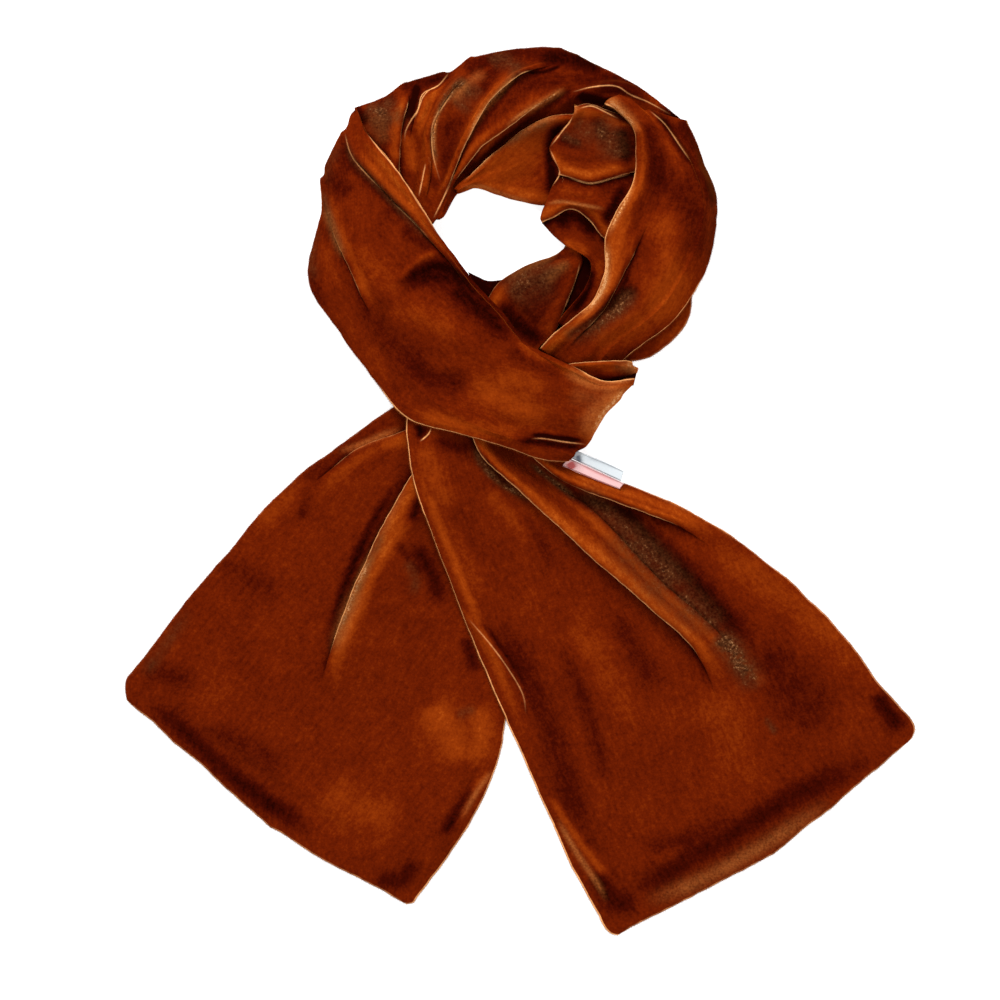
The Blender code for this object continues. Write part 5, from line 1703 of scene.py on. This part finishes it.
def lay_piece(name, piece, material, cloth=CLOTH, wavy=1.0):
    """Make a stretch and put it in its place, and give it with the flat size and area of its cloth."""
    solid = full_size(piece.stretch)
    coarse_at, coarse = stations(solid, solid.along, TURN_SHARES), coarse_columns(solid)
    lift, missing = solid_lift(name, solid, coarse_at)
    stretch = redrawn(name, piece.stretch)
    longest = max(line_length(fold.course) for fold in stretch.folds)
    at = stations(stretch, math.ceil(longest / piece.spacing), START_RUNS)
    knots = wall_knots(stretch, at)
    columns = fine_columns(knots, piece.spacing)
    top = fill_columns(knots, columns)
    top[..., 2] += spread_lift(lift, coarse_at, coarse, at, columns)
    if wavy:
        top[..., :2] += wobble(top[..., :2])
    lower = lower_face(top, cloth)
    plan = top[..., :2]
    top[..., 2] += crease_relief(CREASES.get(name, ()), plan) + wavy * wave_relief(plan, piece.seed)
    across, along, fields = fold_marks(stretch, top, at, columns, piece.trims)
    hand_marks(MARKS.get(name, {}), plan, fields)
    lipped = (bool(stretch.folds[0].lip), bool(stretch.folds[-1].lip))
    mesh = wall_mesh(name + "_cloth", top, lower, fields, across, along, lipped)
    EDGES.extend(real_edges(mesh, top.shape[:2], piece.trims))
    thing = add_piece(name + "_cloth", mesh, material, name)
    flat = (float(across[:, -1].max()) * MM, float(along[-1].max()) * MM)
    area = min(face_area(top), flat[0] * flat[1])
    print(f"{name}: {len(at)} cuts of {len(columns)} points, {len(mesh.polygons)} faces,",
          f"{missing} lifts guessed, flat {flat[0]*1000:.0f} x {flat[1]*1000:.0f} mm, {area*1e4:.0f} cm2")
    return thing, flat, area

# %% The velvet stretches
SHEETS = [lay_piece(name, piece, velvet)
          for name, piece in PIECES.items() if not name.startswith("label")]

# %% [markdown]
# ## Pile past the edges
# Along a turned edge the pile stands out past the cloth and blurs its outline. Geometry Nodes sow short
# fibres along each real edge, and every fibre leans a little its own way.

# %% The fringe of pile
FIBRE_LENGTH = 1.3
FIBRE_WIDTH = 0.16
FIBRE_SIDES = 3
FIBRE_SPACING = 0.34
FIBRE_LEAN = 0.7        # radians to either side
FIBRE_SEED = 5

def fringe_tree():
    tree = bpy.data.node_groups.new("pile_fringe", "GeometryNodeTree")
    shown = tree.interface
    shown.new_socket("Geometry", in_out="INPUT", socket_type="NodeSocketGeometry")
    for name in ("Fibre Length", "Fibre Width", "Spacing", "Lean"):
        shown.new_socket(name, in_out="INPUT", socket_type="NodeSocketFloat")
    shown.new_socket("Seed", in_out="INPUT", socket_type="NodeSocketInt")
    shown.new_socket("Material", in_out="INPUT", socket_type="NodeSocketMaterial")
    shown.new_socket("Geometry", in_out="OUTPUT", socket_type="NodeSocketGeometry")

    node = partial(new_node, tree)
    given = node("NodeGroupInput").outputs
    path = node("GeometryNodeMeshToCurve", {"Mesh": given["Geometry"]})
    spaced = node("GeometryNodeResampleCurve", {"Curve": path.outputs[0], "Length": given["Spacing"]},
                  mode="LENGTH")
    fibre = node("GeometryNodeMeshCone", {
        "Vertices": FIBRE_SIDES, "Side Segments": 1, "Radius Top": 0.0, "Radius Bottom": given["Fibre Width"],
        "Depth": given["Fibre Length"]})
    outward = node("GeometryNodeInputNamedAttribute", {"Name": "outward"}, data_type="FLOAT_VECTOR")
    standing = node("FunctionNodeAlignRotationToVector", {"Vector": outward.outputs[0]}, axis="Z")
    other_way = node("ShaderNodeMath", {0: given["Lean"], 1: -1.0}, operation="MULTIPLY")
    least = node("ShaderNodeCombineXYZ", {axis: other_way.outputs[0] for axis in "XYZ"})
    most = node("ShaderNodeCombineXYZ", {axis: given["Lean"] for axis in "XYZ"})
    lean = node("FunctionNodeRandomValue", {0: least.outputs[0], 1: most.outputs[0], "Seed": given["Seed"]},
                data_type="FLOAT_VECTOR")
    leaning = node("FunctionNodeRotateRotation", {
        "Rotation": standing.outputs[0], "Rotate By": lean.outputs[0]}, rotation_space="LOCAL")
    sown = node("GeometryNodeInstanceOnPoints", {
        "Points": spaced.outputs[0], "Instance": fibre.outputs[0], "Rotation": leaning.outputs[0]})
    real = node("GeometryNodeRealizeInstances", {"Geometry": sown.outputs[0]})
    painted = node("GeometryNodeSetMaterial", {"Geometry": real.outputs[0], "Material": given["Material"]})
    node("NodeGroupOutput", {"Geometry": painted.outputs[0]})
    return tree

def sow_fringe(name, lines, material):
    """One mesh of the fibres that stand along some lines."""
    points = np.concatenate([points for points, _ in lines])
    outward = np.concatenate([out for _, out in lines])
    starts = np.cumsum([0] + [len(points) for points, _ in lines])
    pairs = [(k, k + 1) for start, end in zip(starts, starts[1:]) for k in range(start, end - 1)]
    paths = bpy.data.meshes.new("edge_lines")
    paths.from_pydata(points, pairs, [])
    paths.attributes.new("outward", "FLOAT_VECTOR", "POINT").data.foreach_set("vector", outward.ravel())
    thing = bpy.data.objects.new(name, paths)
    bpy.context.scene.collection.objects.link(thing)
    grow = thing.modifiers.new("fringe", "NODES")
    grow.node_group = fringe_tree()
    sockets = {item.name: item.identifier for item in grow.node_group.interface.items_tree
               if item.in_out == "INPUT"}
    for socket, value in (("Fibre Length", FIBRE_LENGTH * MM), ("Fibre Width", FIBRE_WIDTH * MM / 2),
                          ("Spacing", FIBRE_SPACING * MM), ("Lean", FIBRE_LEAN), ("Seed", FIBRE_SEED),
                          ("Material", material)):
        grow[sockets[socket]] = value
    ready = thing.evaluated_get(bpy.context.evaluated_depsgraph_get())
    mesh = bpy.data.meshes.new_from_object(ready)
    thing.modifiers.remove(grow)
    thing.data = mesh
    return thing

fringe = sow_fringe("pile_fringe", EDGES, pile_tips)
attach(fringe, BODY)
print("fringe:", len(EDGES), "edges,", len(fringe.data.polygons), "faces")

# %% [markdown]
# Behind three of the gaps between stretches there is more of the same cloth. It is only seen as darkness, so
# each is one flat strip of velvet with its colour in full painted shade.

# %% The cloth behind the gaps, in painted shade
BACKING_CUTS = 24
BACKING_COLUMNS = 9
BACKINGS_IN_PAINTED_SHADE = {     # height, and the lines of both sides
    "under_inner_gap": (5.0, ((572, 251), (566, 289), (546, 322), (532, 348)),
                        ((605, 257), (605, 286), (591, 313), (570, 340))),
    "under_hole_tip": (5.0, ((468, 272), (478, 277), (488, 281), (503, 280)),
                       ((476, 296), (484, 302), (494, 306), (506, 300))),
    "under_return_gap": (17.0, ((581, 374), (611, 373), (636, 374)), ((584, 389), (611, 389), (633, 386))),
}

def backing_in_painted_shade(name, height, first, last):
    """A flat strip between two lines, its colour in full painted shade."""
    at = np.linspace(0, 1, BACKING_CUTS)
    lines = [smooth_line(line, reach(line), at) for line in (on_table(first), on_table(last))]
    part = np.linspace(0, 1, BACKING_COLUMNS)[None, :, None]
    plan = lines[0][:, None] * (1 - part) + lines[1][:, None] * part
    top = np.concatenate([plan, np.full(plan.shape[:2] + (1,), height)], axis=2)
    fields = plain_fields(top.shape[:2])
    # The whole strip is painted as shade
    fields["shade"] += 1
    lower = top - np.array((0, 0, CLOTH))
    mesh = wall_mesh(name, top, lower, fields, plan[..., 0], plan[..., 1], (False, False))
    add_piece(name, mesh, velvet)

for name, (height, first, last) in BACKINGS_IN_PAINTED_SHADE.items():
    backing_in_painted_shade(name, height, first, last)
print(len(BACKINGS_IN_PAINTED_SHADE), "strips behind the gaps")

# %% The labels
lay_piece("label_pink", PIECES["label_pink"], pink_satin, LABEL_CLOTH, 0.0)
lay_piece("label_white", PIECES["label_white"], white_satin, LABEL_CLOTH, 0.0)

# %% [markdown]
# The hidden layers are one rounded solid. Nothing of it shows except through a gap between two stretches,
# so it only needs the same nap and smooth shading.

# %% The hidden layers
SAME_POINT = 1e-5       # metres
form = bmesh.new()
form.from_mesh(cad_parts["core"].data)
bmesh.ops.remove_doubles(form, verts=form.verts, dist=SAME_POINT)
core = bpy.data.meshes.new("core_cloth")
form.to_mesh(core)
form.free()
core.shade_smooth()
core.materials.clear()
add_piece("core_cloth", core, velvet, "core")
print("hidden layers:", len(core.vertices), "points")

# %% [markdown]
# ## What the cloth is
# The flat size and area of each velvet stretch are worked out as it is laid, and kept in SHEETS.

# %% [markdown]
# ## Table, light and camera
# The scarf lies on a plain pale table and the camera looks straight down on it. One large soft light
# stands a little towards the top of the picture, so that folds shade their lower sides.

# %% The table top
TABLE_DROP = 0.0004
TABLE_SIZE = 6
TABLE_GREY = (0.6, 0.6, 0.6, 1)
TABLE_GLOW = 0.80       # so that the table shows as white as in the photograph
WHITE = (1, 1, 1, 1)
bpy.ops.mesh.primitive_plane_add(size=TABLE_SIZE, location=(0, 0, -TABLE_DROP))
table_top = bpy.context.object
table_top.name = "table_top"
graph = Graph("table_white")
paper = graph.node("ShaderNodeBsdfPrincipled", {
    "Base Color": TABLE_GREY, "Roughness": 0.9, "Specular IOR Level": 0.1,
    "Emission Color": WHITE, "Emission Strength": TABLE_GLOW})
table_top.data.materials.append(graph.finish(paper.outputs[0]))

# %% Light
SKY_LIGHT = 0.62
LIGHTS = {      # place, width and power
    "key": ((-0.5, 1.5, 1.6), 1.1, 42),
    "fill": ((0.9, -1.2, 1.8), 1.4, 12),
}
scene = bpy.context.scene
scene.world = bpy.data.worlds.new("studio")
scene.world.use_nodes = True
sky = scene.world.node_tree.nodes["Background"].inputs
sky["Color"].default_value = WHITE
sky["Strength"].default_value = SKY_LIGHT

for name, (place, width, power) in LIGHTS.items():
    light = bpy.data.lights.new(name, "AREA")
    light.shape, light.size, light.energy = "DISK", width, power
    lamp = bpy.data.objects.new(name, light)
    lamp.location = place
    lamp.rotation_euler = (-Vector(place)).to_track_quat("-Z", "Y").to_euler()
    scene.collection.objects.link(lamp)

# %% Camera
CAMERA_HEIGHT = 4.5
PICTURE_WIDTH = 0.650   # metres of table top that the picture shows
PICTURE_CENTRE = (-0.0129, -0.0062)
SENSOR = 36             # millimetres
camera = bpy.data.cameras.new("camera")
camera.sensor_width = SENSOR
camera.lens = SENSOR * CAMERA_HEIGHT / PICTURE_WIDTH
eye = bpy.data.objects.new("camera", camera)
eye.location = (*PICTURE_CENTRE, CAMERA_HEIGHT)
scene.collection.objects.link(eye)
scene.camera = eye
scene.view_settings.view_transform = "Standard"
print("the camera looks straight down from", CAMERA_HEIGHT, "m")
